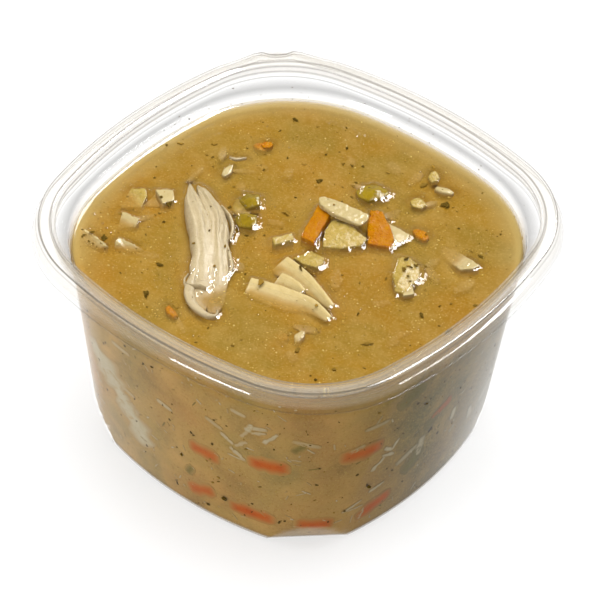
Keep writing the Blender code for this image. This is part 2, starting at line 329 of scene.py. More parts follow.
# %% Camera
CAMERA_SPOT = Vector((488.5, -609.2, 743.3)) * MM
CAMERA_TARGET = Vector((22.6, -26.3, 74.7)) * MM
CAMERA_ROLL = math.radians(2.25)

lens = bpy.data.cameras.new("view")
lens.lens = 220.7
lens.sensor_width = 36.0
camera = in_scene("view", lens)
looking = (CAMERA_TARGET - CAMERA_SPOT).to_track_quat("-Z", "Y").to_matrix().to_4x4()
camera.matrix_world = (Matrix.Translation(CAMERA_SPOT) @ looking
                       @ Matrix.Rotation(CAMERA_ROLL, 4, "Z"))
bpy.context.scene.camera = camera
print("camera", round((CAMERA_TARGET - CAMERA_SPOT).length, 3), "m from its target")

# %% [markdown]
# ## Floor and light
#
# Clear plastic shows what surrounds it, so the floor is a wide white sheet that runs far
# behind the tub: the wall mirrors it more and more towards its edges and turns white there.
# A big soft box overhead gives the even light, and it is hidden from mirror rays, because a
# large bright patch would lie as a veil over the rim. Four small strips do the opposite. They
# show only as reflections, and draw the thin white lines and wet glints.


# %% Floor and light
def soft_box(name, spot, target, size, power, mirrored):
    """An area light for either the plain shading or the reflections, in metres and watts."""
    light = bpy.data.lights.new(name, "AREA")
    light.shape = "RECTANGLE"
    light.size, light.size_y = size
    light.energy = power
    made = in_scene(name, light)
    made.location = spot
    made.rotation_euler = (Vector(target) - Vector(spot)).to_track_quat("-Z", "Y").to_euler()
    made.visible_diffuse = not mirrored
    made.visible_glossy = mirrored
    return made


def white_sheet():
    recipe = Recipe("white_sheet")
    tone = recipe.blend(recipe.noise(400.0), (0.31, 0.31, 0.31), (0.33, 0.33, 0.33))
    material = recipe.finish(tone, 0.9)
    recipe.shader.inputs["Emission Color"].default_value = (1.0, 1.0, 1.0, 1.0)
    recipe.shader.inputs["Emission Strength"].default_value = 0.67
    return material


FLOOR_HALF, FLOOR_LEVEL = 6.0, -0.0002      # in metres
floor_data = bpy.data.meshes.new("floor")
corners = [(x * FLOOR_HALF, y * FLOOR_HALF, FLOOR_LEVEL)
           for x, y in ((-1, -1), (1, -1), (1, 1), (-1, 1))]
floor_data.from_pydata(corners, [], [(0, 1, 2, 3)])
floor_data.materials.append(white_sheet())
floor = in_scene("floor", floor_data)

middle = (0.0, 0.0, 0.06)
soft_box("overhead", (-0.05, 0.1, 0.95), middle, (0.9, 0.9), 15.0, mirrored=False)
soft_box("side_fill", (-0.35, -0.85, 0.30), middle, (0.5, 0.5), 3.4, mirrored=False)
soft_box("right_low", (0.66, 0.40, 0.10), middle, (0.5, 0.05), 1.5, mirrored=True)
soft_box("right_high", (0.30, 0.38, 0.78), middle, (0.6, 0.3), 18.0, mirrored=True)
soft_box("back_high", (0.02, 0.70, 0.62), middle, (0.3, 0.3), 5.0, mirrored=True)
soft_box("front_low", (-0.14, -0.80, 0.11), middle, (0.30, 0.08), 1.8, mirrored=True)
bpy.context.scene.view_settings.view_transform = "Standard"
bpy.context.scene.cycles.transparent_max_bounces = 32

# %% Studio walls
BRIGHT_WAY = (-0.55, 0.60, -0.58)      # the studio is brightest low down behind the tub
floor.visible_glossy = False
world = bpy.data.worlds.new("studio")
bpy.context.scene.world = world
world.use_nodes = True
nodes, links = world.node_tree.nodes, world.node_tree.links
way = nodes.new("ShaderNodeTexCoord")
along = nodes.new("ShaderNodeVectorMath")
along.operation = "DOT_PRODUCT"
along.inputs[1].default_value = BRIGHT_WAY
bright = nodes.new("ShaderNodeMapRange")
for key, value in (("From Min", 0.45), ("From Max", 0.95), ("To Min", 0.2), ("To Max", 1.2)):
    bright.inputs[key].default_value = value
links.new(way.outputs["Generated"], along.inputs[0])
links.new(along.outputs["Value"], bright.inputs["Value"])
links.new(bright.outputs["Result"], nodes["Background"].inputs["Strength"])
nodes["Background"].inputs["Color"].default_value = (1.0, 1.0, 1.0, 1.0)

# %% [markdown]
# ## Plan shape of the tub
#
# The tub is a square with bowed sides. Its corners are round at the rim and cut flat near the
# base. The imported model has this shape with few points, and the shell below is worked out
# again from the same driving sizes with many, so that its edges run smooth.

# %% Plan shape
RIM_SIZES = (60.0, 149.6, 31.6)      # half width, side radius and corner radius in mm
BASE_SIZES = (49.1, 112.4, 15.4)
BODY_TOP_SIZES = (60.5, 145.5, 45.0)
ROUNDING_POWER = 0.8
FACET_AT_BASE, FACET_LEAN = 52.2, 0.53
WALL = 0.6
SIDE_STEPS, CORNER_STEPS = 22, 26
LAND_OFFSET = 4.9
TAB_REACH, TAB_HALF, TAB_SLOPE, NOTCH = 74.7, 4.9, 0.54, 2.5
TAB_QUARTER = 1


class Plan:
    """Bowed square with arc corners, or corners cut flat by a facet."""

    def __init__(self, half, side, corner, facet=None):
        self.half, self.side, self.corner, self.facet = half, side, corner, facet
        bow = side - half
        self.centre = (-bow + math.sqrt(2.0 * (side - corner) ** 2 - bow**2)) / 2.0
        self.tangent = math.atan2(self.centre, self.centre + bow)

    def side_point(self, angle):
        return (self.half - self.side + self.side * math.cos(angle),
                self.side * math.sin(angle))

    def round_reach(self, across):
        across = abs(across)
        join_x, join_y = self.side_point(self.tangent)
        if across <= (join_x - join_y) / math.sqrt(2.0):
            return self.centre * math.sqrt(2.0) + math.sqrt(self.corner**2 - across**2)
        middle = (self.half - self.side) / math.sqrt(2.0)
        return middle + math.sqrt(self.side**2 - (across - middle) ** 2)

    def corner_start(self):
        if self.facet is None:
            return self.tangent
        bow = self.side - self.half
        cosine = (self.facet * math.sqrt(2.0) + bow) / (self.side * math.sqrt(2.0))
        return min(self.tangent, math.pi / 4.0 - math.acos(min(1.0, cosine)))

    def ring(self, height, tab=0.0, notch=0.0):
        start = self.corner_start()
        end_x, end_y = self.side_point(start)
        across_end = (end_x - end_y) / math.sqrt(2.0)
        points = []
        for quarter in range(4):
            cos, sin = ((1, 0), (0, 1), (-1, 0), (0, -1))[quarter]
            spots = [self.side_point(start * (2.0 * i / SIDE_STEPS - 1.0))
                     for i in range(SIDE_STEPS)]
            for i in range(CORNER_STEPS):
                across = across_end * math.cos(math.pi * i / CORNER_STEPS)
                along = self.round_reach(across)
                if self.facet is not None:
                    along = soft_least(along, self.facet)
                if quarter == TAB_QUARTER:
                    along += tab * tab_push(across) - notch * notch_depth(across)
                spots.append(((along + across) / math.sqrt(2.0),
                              (along - across) / math.sqrt(2.0)))
            points += [(x * cos - y * sin, x * sin + y * cos, height) for x, y in spots]
        return points


def soft_least(first, second, round_off=0.35):
    """The lesser of two distances, with the corner between them rounded off."""
    gap = max(0.0, round_off - abs(first - second)) / round_off
    return min(first, second) - gap * gap * round_off / 4.0


def rim_plan(offset):
    half, side, corner = RIM_SIZES
    return Plan(half + offset, side + offset, corner + offset)


LAND_EDGE = rim_plan(LAND_OFFSET)


def tab_push(across):
    line = TAB_REACH - TAB_SLOPE * max(0.0, abs(across) - TAB_HALF)
    return max(0.0, line - LAND_EDGE.round_reach(across))


def notch_depth(across):
    if abs(across) >= TAB_HALF:
        return 0.0
    return NOTCH * math.sqrt(1.0 - (across / TAB_HALF) ** 2)


def body_plan(height, inset=0.0):
    rise = max(0.0, height / RIM_PLANE)
    half, side = (low + (high - low) * rise
                  for low, high in zip(BASE_SIZES[:2], BODY_TOP_SIZES[:2]))
    growth = (BODY_TOP_SIZES[2] - BASE_SIZES[2]) * rise**ROUNDING_POWER
    corner = BASE_SIZES[2] + growth
    facet = FACET_AT_BASE + FACET_LEAN * height
    return Plan(half - inset, side - inset, max(corner - inset, 2.0), facet - inset)


RING_POINTS = len(body_plan(30.0).ring(30.0))
print("points on each ring:", RING_POINTS)

# %% [markdown]
# ## The clear tub
#
# A thin-walled tub is drawn from a hot sheet, so its rim is one profile bent over and over:
# up out of the wall, over a bead, across a flat land and down a flared skirt. The profile
# below lists those bends once for each face of the sheet, and rounds every one. Each bend
# also carries a value called fold, which paints a dark line along it: painted shade standing
# in for the dark line that light bent by a curve of clear plastic shows there.

# %% Tub profile
FOOT_BEVEL, FOOT_WIDTH, PANEL_RAISE, PANEL_RAMP = 1.2, 5.0, 0.8, 1.5
SHOULDER = 69.4
# offset from the inner rim edge, height from the rim plane, tab, notch, bend radius, and fold: how
# dark the painted shade line at the bend is
UNDER_FACE = (
    (1.15, -4.6, 0.0, 0.0, 0.5, 0.3), (1.5, -2.4, 0.0, 0.0, 0.7, 0.0),
    (1.05, -0.3, 0.0, 0.0, 0.4, 0.2), (1.75, 0.42, 0.0, 0.0, 0.5, 0.5),
    (4.55, 0.12, 1.0, 1.0, 0.4, 0.6), (5.05, -0.5, 1.0, 0.0, 0.3, 0.0),
    (6.2, -2.3, 1.0, 0.0, 1.2, 0.0), (6.75, -4.95, 1.0, 0.0, 0.2, 0.4))
TOP_FACE = (
    (7.33, -4.83, 1.0, 0.0, 0.2, 0.8), (6.85, -2.1, 1.0, 0.0, 1.5, 0.0),
    (5.65, -0.1, 1.0, 0.0, 0.5, 0.25), (4.9, 0.76, 1.0, 1.0, 0.5, 0.8),
    (1.45, 1.05, 0.0, 0.0, 0.6, 0.5), (0.0, 0.0, 0.0, 0.0, 0.6, 0.55),
    (0.88, -2.35, 0.0, 0.0, 0.8, 0.45), (0.5, -4.3, 0.0, 0.0, 0.6, 0.4))
BEND_STEPS = 6
LINE_SHARPNESS = 3.0


def rounded(profile):
    """The profile with each listed corner replaced by a short smooth bend."""
    lines = np.array(profile)
    result = []
    for i, line in enumerate(lines):
        before, after = lines[max(i - 1, 0)], lines[min(i + 1, len(lines) - 1)]
        ends = []
        for other in (before, after):
            length = max(np.linalg.norm(other[:2] - line[:2]), 1e-6)
            ends.append(line + (other - line) * min(line[4] / length, 0.45))
        for t in np.linspace(0.0, 1.0, BEND_STEPS + 1):
            spot = (1 - t) ** 2 * ends[0] + 2 * t * (1 - t) * line + t * t * ends[1]
            result.append((*spot[:4], line[5] * math.sin(math.pi * t) ** LINE_SHARPNESS))
    return result


def floor_rings(inset, lift):
    plans = (body_plan(0.0, inset + FOOT_WIDTH + PANEL_RAMP),
             body_plan(0.0, inset + FOOT_WIDTH), body_plan(0.0, inset + FOOT_BEVEL))
    middle = plans[0].ring(lift + PANEL_RAISE)
    inner = [[(x * share, y * share, z) for x, y, z in middle] for share in (0.02, 0.5)]
    return inner + [middle, plans[1].ring(lift), plans[2].ring(lift)]


def tub_rings():
    """Every ring of the shell in order, from under the base over the rim to the inside."""
    heights = [FOOT_BEVEL, 1.8] + list(np.linspace(3.0, SHOULDER, 26))
    rings = floor_rings(0.0, 0.0)
    # painted shade: how dark a line is painted at each bend of the foot, shoulder and rim
    bend_shades = [0.0, 0.0, 0.1, 0.25, 0.45]
    rings += [body_plan(height).ring(height) for height in heights]
    bend_shades += [0.3] + [0.0] * (len(heights) - 2) + [0.35]
    for offset, height, tab, notch, fold in rounded(UNDER_FACE + TOP_FACE):
        rings.append(rim_plan(offset).ring(RIM_PLANE + height, tab, notch))
        bend_shades.append(fold)
    inside_start = len(rings)
    rings += [body_plan(height, WALL).ring(height) for height in reversed(heights[1:])]
    rings += reversed(floor_rings(WALL, WALL))
    bend_shades += [0.2] + [0.0] * (len(rings) - len(bend_shades) - 1)
    wet = [number >= inside_start and ring[0][2] < LEVEL for number, ring in enumerate(rings)]
    return rings, bend_shades, wet


# %% [markdown]
# ## Clear plastic
#
# A thin wall hardly bends light, so the finish doesn't refract. It mixes a see-through shader
# with a mirror that grows towards grazing angles. Where the fold value marks a bend it lets
# less light through, a painted shade for the dark line that refraction draws there. Where the
# wall is wet on its inside it hardly mirrors, because plastic and broth bend light almost
# alike, so a value called dry switches the mirror off there.


# %% Clear plastic finish
MIRROR_HEAD_ON, MIRROR_ALONG, MIRROR_POWER = 0.035, 0.95, 5.0
# the second colour is painted shade: the dark see-through tint of the lines at the bends
CLEAR, BEND_SHADE_TINT = (0.985, 0.985, 0.982), (0.08, 0.07, 0.06)
WHITE, MILKY = (1.0, 1.0, 1.0), (0.68, 0.60, 0.47)
EDGE_FROM, EDGE_TO = 0.83, 0.90


def clear_plastic():
    recipe = Recipe("clear_plastic")
    # painted shade: the fold value darkens what comes through at each bend
    see = recipe.see_through(recipe.blend(recipe.attribute("fold"), CLEAR, BEND_SHADE_TINT))
    shine = recipe.mirror(0.03, recipe.bump(recipe.noise(16.0, detail=0.0), 0.03), WHITE)
    facing = recipe.facing()
    mirror = recipe.math("POWER", facing, MIRROR_POWER)
    mirror = recipe.span(mirror, 0.0, 1.0, MIRROR_HEAD_ON, MIRROR_ALONG)
    edge = recipe.span(facing, EDGE_FROM, EDGE_TO, 0.0, 0.8)
    mirror = recipe.math("MAXIMUM", mirror, edge)
    mirror = recipe.math("MULTIPLY", mirror, recipe.attribute("dry"))
    milky = recipe.add("ShaderNodeBsdfDiffuse")
    milky.inputs["Color"].default_value = (*MILKY, 1.0)
    clouded = recipe.mix(recipe.attribute("haze"), see, milky.outputs["BSDF"])
    return recipe.surface(recipe.mix(mirror, clouded, shine))


# %% Tub
RIM_HAZE, FOOT_HAZE = 0.12, 0.4
rings, bend_shades, wet = tub_rings()
tub = new_piece("clear_tub", flat(rings),
                capped_faces(len(rings), RING_POINTS), clear_plastic(), "clear_plastic",
                fold=np.repeat(bend_shades, RING_POINTS),
                dry=np.repeat([0.0 if under else 1.0 for under in wet], RING_POINTS),
                haze=np.repeat([RIM_HAZE if ring[0][2] > RIM_PLANE - 3.0 else
                                FOOT_HAZE if 0.1 < ring[0][2] < 2.5 else 0.0
                                for ring in rings], RING_POINTS))
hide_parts("tub")
tub.visible_shadow = False
print("tub:", len(rings), "rings,", len(tub.data.polygons), "faces")

# %% [markdown]
# ## Broth finish
#
# Cloudy broth hides what is in it within a few millimetres. It is made as a see-through skin
# over an opaque core of the same colour, and whatever lies between the two shows faintly. The
# colour drifts between golden, olive and orange in soft clouds, and is full of fine grains and
# small round drops of yellow fat. A value called cover says how much of what is behind the
# skin it hides: half in the middle, and less where a thin wedge of broth climbs the wall.


# %% Broth finish
GOLDEN, OLIVE, ORANGE = (0.290, 0.155, 0.012), (0.245, 0.148, 0.018), (0.302, 0.141, 0.008)
# Tones of the broth's side lower down: the first set is murky broth painted lighter and greyer, partly
# a painted reflection of the wall's veil; the second is dark herby broth, used both for random blots
# and as painted shade on one side of the soup.
MURKY_AND_VEIL = ((0.305, 0.207, 0.068), (0.455, 0.277, 0.088), (0.40, 0.218, 0.068))
HERBS_AND_SHADE = ((0.13, 0.110, 0.040), (0.19, 0.135, 0.050), (0.165, 0.115, 0.042))
LIT_EDGE = (0.40, 0.30, 0.11)         # light comes in through the wall at the broth's edge
SHINE_HEAD_ON = 0.045


def broth_colour(recipe, tones=(OLIVE, GOLDEN, ORANGE)):
    """Clouds of three near colours with pale grains and drops of fat in them."""
    clouds = recipe.span(recipe.noise(19.0, detail=3.0, warp=0.6), 0.38, 0.62)
    colour = recipe.blend(clouds, tones[0], tones[1])
    patches = recipe.span(recipe.noise(27.0, detail=2.0), 0.45, 0.7)
    colour = recipe.blend(patches, colour, tones[2])
    hazes = recipe.span(recipe.noise(8.0, detail=3.0), 0.45, 0.75, 0.0, 0.45)
    colour = recipe.blend(hazes, colour, (0.40, 0.26, 0.07))
    grains = recipe.span(recipe.noise(0.7, detail=3.0, rough=0.7), 0.48, 0.72, 0.0, 0.5)
    colour = recipe.blend(grains, colour, (0.44, 0.29, 0.085))
    dark = recipe.span(recipe.noise(0.9, detail=3.0, rough=0.7), 0.46, 0.3, 0.0, 0.4)
    colour = recipe.blend(dark, colour, (0.20, 0.105, 0.014))
    fine = recipe.span(recipe.spots(1.1, 0.19), 0.1, 0.6, 0.0, 0.45)
    return recipe.blend(fine, colour, (0.58, 0.43, 0.13))


def facing_mirror(recipe, head_on):
    """How much a smooth wet skin mirrors: little from above, more when seen along it."""
    turned = recipe.math("POWER", recipe.facing(), MIRROR_POWER)
    return recipe.span(turned, 0.0, 1.0, head_on, MIRROR_ALONG)


def broth_skin(name, wet):
    recipe = Recipe(name)
    colour = broth_colour(recipe)
    if wet:
        colour = recipe.blend(recipe.attribute("lit"), colour, LIT_EDGE)
    else:
        # random dark blots, plus painted shade on one side of the soup; lower down the side, the murky
        # tone with its painted grey reflection
        blots = recipe.span(recipe.noise(13.0, detail=3.0), 0.5, 0.75, 0.0, 0.55)
        herby = recipe.math("MAXIMUM", recipe.attribute("herby"), blots)
        lower_side_tone = recipe.blend(herby, broth_colour(recipe, MURKY_AND_VEIL), broth_colour(recipe, HERBS_AND_SHADE))
        colour = recipe.blend(recipe.attribute("low"), colour, lower_side_tone)
    recipe.finish(colour, 0.6, Specular_IOR_Level=0.0)
    shader = recipe.mix(recipe.attribute("cover"), recipe.see_through(),
                        recipe.shader.outputs["BSDF"])
    if wet:
        shine = recipe.mirror(0.06, recipe.bump(recipe.noise(1.8, detail=2.0), 0.015))
        shader = recipe.mix(facing_mirror(recipe, SHINE_HEAD_ON), shader, shine)
    return recipe.surface(shader)


def broth_core():
    recipe = Recipe("broth_core")
    return recipe.finish(broth_colour(recipe), 0.9, Specular_IOR_Level=0.0)


# %% [markdown]
# ## Finishes of the pieces
#
# Every piece of food shares one habit: it fades towards the broth colour with depth. Over
# that, carrot has fine cell grain and a wet gleam, celery is pale and watery with green
# fibres, noodle is smooth and cream, and chicken is matt and striped along its fibres.


# %% Food finish
BROTH = (0.37, 0.215, 0.036)
FADE_BASE = 2.718


def food(name, tones, grain, gleam, relief, fade=0.75, rich=0.4, shine=0.5, around=BROTH,
         shaded=None):
    """A wet food finish between two tones, fading into the broth with depth."""
    recipe = Recipe(name)
    patches = recipe.span(recipe.noise(grain * 5.0), 0.35, 0.65)
    flecks = recipe.span(recipe.noise(grain, detail=4.0, rough=0.65), 0.35, 0.7)
    colour = recipe.blend(patches, tones[0], tones[1])
    colour = recipe.blend(recipe.math("MULTIPLY", flecks, rich), colour, tones[2])
    deep = recipe.math("MULTIPLY", recipe.attribute("sunk"), -fade)
    clear = recipe.math("POWER", FADE_BASE, deep)
    # painted shade: on the soup's dark side a piece fades into a darker colour
    if shaded:
        around = recipe.blend(recipe.attribute("herby"), around, shaded)
    colour = recipe.blend(clear, around, colour)
    rough = recipe.span(clear, 0.4, 1.0, 0.85, gleam)
    fine = recipe.bump(recipe.noise(grain, detail=4.0, rough=0.6), relief)
    broad = recipe.bump(recipe.noise(grain * 3.0, detail=2.0), relief * 1.6, fine)
    return recipe.finish(colour, rough, broad, Specular_IOR_Level=shine)


carrot = food("carrot", ((0.36, 0.095, 0.0), (0.40, 0.14, 0.0), (0.50, 0.24, 0.0)),
              0.5, 0.14, 0.30, fade=0.8, rich=0.6, shine=0.1)
noodle = food("noodle", ((0.46, 0.36, 0.165), (0.42, 0.32, 0.13), (0.50, 0.41, 0.21)),
              0.4, 0.24, 0.07, fade=1.0)
ribbon_noodle = food("ribbon_noodle", ((0.54, 0.415, 0.18), (0.49, 0.365, 0.14),
                                       (0.58, 0.46, 0.22)), 0.4, 0.24, 0.05, fade=1.0)
celery_pale = food("celery_pale", ((0.40, 0.27, 0.05), (0.35, 0.235, 0.03),
                                   (0.48, 0.38, 0.15)), 0.6, 0.13, 0.30, fade=0.7)
celery_green = food("celery_green", ((0.26, 0.170, 0.002), (0.17, 0.105, 0.0),
                                     (0.32, 0.22, 0.012)), 0.7, 0.10, 0.10, fade=0.9)
chicken = food("chicken", ((0.42, 0.33, 0.185), (0.46, 0.37, 0.215), (0.51, 0.42, 0.27)),
               0.35, 0.30, 0.12, fade=0.8, shine=0.3)
print("finishes:", carrot.name, noodle.name, celery_pale.name, celery_green.name, chicken.name)

# %% [markdown]
# ## Diced vegetables
#
# A cut of cooked carrot or celery floats tilted, so each corner of its top stands at its own
# height and some corners are under the broth. Each cut below is the outline of its top with
# those heights, and a few points inside where the top is crowned. It is closed down to a flat
# bottom. A voxel remesh turns it into an even skin of small faces, smoothing rounds its edges
# as cooking does, and noise then makes the faces uneven.
#
# The corners were worked out outside this script and copied in, so they are data rather than
# design. The same goes for the noodles and the chicken further down.


# %% Carving a cut
def closed_solid(tops, inside, bottom, lean):
    """A solid from the outline of its top, with points inside it, down to a flat bottom."""
    count = len(tops)
    spots = list(tops) + list(inside)
    flat = [Vector((x, y)) for x, y, _ in spots]
    found = geometry.delaunay_2d_cdt(flat, [], [list(range(count))], 1, 1e-6)
    heights = [spots[source[0]][2] for source in found[3]]
    mesh = bmesh.new()
    upper = [mesh.verts.new((p.x, p.y, LEVEL + z)) for p, z in zip(found[0], heights)]
    for face in found[2]:
        mesh.faces.new([upper[corner] for corner in face])
    order = {source[0]: number for number, source in enumerate(found[3])}
    lower = [mesh.verts.new((x + lean[0], y + lean[1], LEVEL + bottom)) for x, y, _ in tops]
    for i in range(count):
        j = (i + 1) % count
        mesh.faces.new((upper[order[i]], upper[order[j]], lower[j], lower[i]))
    mesh.faces.new(lower)
    bmesh.ops.recalc_face_normals(mesh, faces=mesh.faces)
    bmesh.ops.scale(mesh, vec=(MM, MM, MM), verts=mesh.verts)
    data = bpy.data.meshes.new("solid")
    mesh.to_mesh(data)
    mesh.free()
    return data


def carved(tops, inside=(), bottom=-3.0, lean=(0.0, 0.0), voxel=0.27, rounds=3, uneven=0.16,
           size=2.6):
    """Points and faces of a cooked cut: remeshed, softened and made uneven."""
    block = in_scene("block", closed_solid(tops, inside, bottom, lean))
    remesh = block.modifiers.new("remesh", "REMESH")
    remesh.mode = "VOXEL"
    remesh.voxel_size = voxel * MM
    smooth = block.modifiers.new("smooth", "SMOOTH")
    smooth.iterations = rounds
    smooth.factor = 0.6
    evaluated = block.evaluated_get(bpy.context.evaluated_depsgraph_get())
    shaped = bpy.data.meshes.new_from_object(evaluated)
    points = []
    for vertex in shaped.vertices:
        spot = vertex.co / MM
        lift = uneven * wave(spot, size) + 0.45 * uneven * wave(spot, size * 0.35)
        points.append(spot + vertex.normal * lift)
    faces = [tuple(face.vertices) for face in shaped.polygons]
    bpy.data.objects.remove(block)
    bpy.data.meshes.remove(shaped)
    return points, faces


floating = []


def floating_cut(node, finish, slot, tops, inside=(), **settings):
    points, faces = carved(tops, inside, **settings)
    piece = new_piece(node + "_cut", points, faces, finish, slot, sunk=depths(points))
    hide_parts(node)
    floating.append(piece)


# %% Carrot
# each corner of a top is x, y and its height over the broth's level, all in mm
floating_cut("carrot_left", carrot, "carrot",
             ((-5.6, 16.0, 2.0), (0.0, 14.5, 2.3), (3.9, 2.2, 1.3), (-0.9, 2.2, 1.0)),
             ((-0.4, 9.0, 2.3),), uneven=0.2, size=1.8)
floating_cut("carrot_right", carrot, "carrot",
             ((7.0, 23.8, 1.6), (10.1, 25.4, 1.9), (13.6, 22.8, 2.2), (17.4, 20.6, 1.9),
              (20.0, 18.4, 1.3), (20.6, 15.6, 0.8), (15.1, 12.6, 0.9), (10.3, 18.2, 1.7)),
             ((13.2, 19.0, 2.4),), uneven=0.3, size=1.5)
print("carrots:", [len(piece.data.polygons) for piece in floating], "faces")

# %% Celery
floating_cut("celery_middle", celery_pale, "pale_celery",
             ((2.4, 8.8, 0.9), (1.4, 13.2, 1.4), (4.3, 15.0, 1.6), (13.6, 14.0, 1.3),
              (14.2, 10.8, 0.8), (10.5, 6.2, 0.5), (6.0, 3.6, 0.4)), ((7.6, 10.4, 2.0),),
             uneven=0.3, size=1.7)
floating_cut("celery_cube", celery_pale, "pale_celery",
             ((-6.3, -3.8, 1.3), (-3.4, 1.6, 1.2), (-1.3, 0.0, 1.0), (-4.2, -5.4, 1.1)),
             bottom=-4.2, lean=(0.5, -0.7), uneven=0.12, rounds=2)
floating_cut("celery_front", celery_pale, "pale_celery",
             ((2.8, -5.5, 0.3), (4.9, 0.4, 0.1), (10.0, -0.3, 0.9), (11.4, -2.5, 1.3),
              (11.1, -5.0, 1.1), (7.2, -6.0, 0.8)), ((8.5, -3.0, 1.4),), bottom=-2.7,
             uneven=0.25)
floating_cut("celery_herbed", celery_pale, "pale_celery",
             ((25.2, 13.3, 0.9), (28.0, 15.5, 1.5), (32.5, 14.6, 1.0), (34.6, 11.8, 0.5),
              (35.6, 3.6, 0.3), (33.0, 2.6, 0.4), (28.5, 7.2, 0.6)),
             ((30.0, 12.5, 2.2), (32.0, 5.6, 1.9)), uneven=0.3, size=1.6)
floating_cut("celery_left", celery_pale, "pale_celery",
             ((-51.1, -13.3, 0.2), (-47.5, -10.9, 0.5), (-45.2, -13.0, 0.5),
              (-43.6, -17.2, -0.4), (-49.3, -20.0, -1.8), (-50.4, -16.2, -1.0)))
floating_cut("celery_pair_far", celery_green, "celery",
             ((-24.9, 3.2, -0.3), (-24.7, 6.3, 0.9), (-20.9, 8.0, 1.5), (-18.0, 4.7, 1.5),
              (-19.9, 1.5, 1.0)), ((-20.8, 4.8, 2.1),), bottom=-1.9, rounds=6)
floating_cut("celery_pair_near", celery_green, "celery",
             ((-20.9, -3.4, -0.4), (-20.3, -1.0, 0.7), (-15.8, 0.9, 1.3), (-13.4, -2.1, 1.3),
              (-13.9, -4.4, 0.9), (-17.3, -5.5, 0.2)), ((-16.2, -1.8, 2.1),), bottom=-1.9,
             rounds=6)
floating_cut("celery_back", celery_green, "celery",
             ((-2.9, 29.0, -0.3), (-2.5, 31.6, 0.3), (-0.1, 33.9, 0.8), (4.2, 34.6, 1.0),
              (6.0, 33.4, 1.1), (5.2, 30.2, 0.9), (3.4, 27.2, 0.6), (-0.2, 27.2, 0.1)),
             ((2.5, 31.0, 1.8),), bottom=-1.9, rounds=6)
print("carved cuts so far:", len(floating))

# %% [markdown]
# ## Noodles
#
# A flat noodle hangs in the broth from one long edge. That edge stands over the surface as a
# pale round rim, and the rest slopes down and is lost in the cloudy broth. Each is lofted
# from stations along its high edge. Short cuts of noodle are carved like the vegetables.

# %% Noodle ribbons
NOODLE_THICK = 1.3
RIBBON_ROWS, RIBBON_TOP, RIBBON_ROUND = 90, 18, 7


def ribbon_section(width, slope):
    """Across and up offsets of a thin sheet with round edges, from its high edge."""
    radius = 0.5 * NOODLE_THICK
    tilt = math.atan(slope)
    outline = [(share * width, 1.0) for share in np.linspace(0.0, 1.0, RIBBON_TOP)]
    outline = [(a, radius * up, 0.0) for a, up in outline]
    for angle in np.linspace(0.0, math.pi, RIBBON_ROUND + 2)[1:-1]:
        outline.append((width, radius * math.cos(angle), radius * math.sin(angle)))
    outline += [(share * width, -radius, 0.0) for share in np.linspace(1.0, 0.0, RIBBON_TOP)]
    for angle in np.linspace(math.pi, 0.0, RIBBON_ROUND + 2)[1:-1]:
        outline.append((0.0, radius * math.cos(angle), -radius * math.sin(angle)))
    section = []
    for along, up, beyond in outline:
        reach = along + beyond
        section.append((reach * math.cos(tilt) + up * math.sin(tilt),
                        up * math.cos(tilt) - reach * math.sin(tilt) - radius))
    return section


def ribbon(node, stations):
    """A noodle from stations of x, y, height of the high edge, width and slope across."""
    line = smooth_path(stations, RIBBON_ROWS)
    points = []
    for row, (x, y, top, width, slope) in enumerate(line):
        ahead = line[min(row + 1, RIBBON_ROWS - 1)] - line[max(row - 1, 0)]
        away = Vector((ahead[1], -ahead[0])).normalized()
        end = min(row, RIBBON_ROWS - 1 - row) / 4.0
        shrink = 1.0 if end >= 1.0 else 0.72 + 0.28 * math.sqrt(1.0 - (1.0 - end) ** 2)
        for across, up in ribbon_section(width, slope):
            spot = Vector((x, y)) + away * across
            lift = up * shrink + 0.07 * wave((spot.x, spot.y, up), 2.4)
            points.append((spot.x, spot.y, LEVEL + top + lift))
    columns = len(points) // RIBBON_ROWS
    piece = new_piece(node + "_ribbon", points, capped_faces(RIBBON_ROWS, columns),
                      ribbon_noodle, "noodle", sunk=depths(points))
    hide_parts(node)
    floating.append(piece)


ribbon("noodle_long", ((0.2, -20.4, 0.8, 4.4, 0.42), (5.8, -18.5, 1.0, 5.4, 0.45),
                       (12.8, -16.9, 1.2, 5.4, 0.55), (18.2, -16.1, 1.3, 3.6, 0.85),
                       (22.5, -16.7, 1.2, 2.4, 1.1), (26.9, -17.8, 0.8, 1.0, 1.0)))
ribbon("noodle_wide", ((1.8, -6.9, 0.8, 5.4, 0.48), (6.5, -7.6, 1.0, 4.8, 0.55),
                       (12.1, -9.0, 1.2, 4.4, 0.65), (17.8, -11.2, 1.3, 2.8, 0.95),
                       (22.4, -13.0, 1.1, 1.5, 1.1), (24.2, -13.7, 0.8, 0.8, 1.0)))
ribbon("noodle_short", ((5.3, -13.2, 0.9, 3.4, 0.50), (8.4, -13.0, 1.1, 3.2, 0.65),
                        (11.6, -13.4, 1.1, 2.0, 0.9), (14.4, -14.2, 0.8, 0.8, 1.0)))
print("ribbons:", [len(piece.data.polygons) for piece in floating[-3:]], "faces")

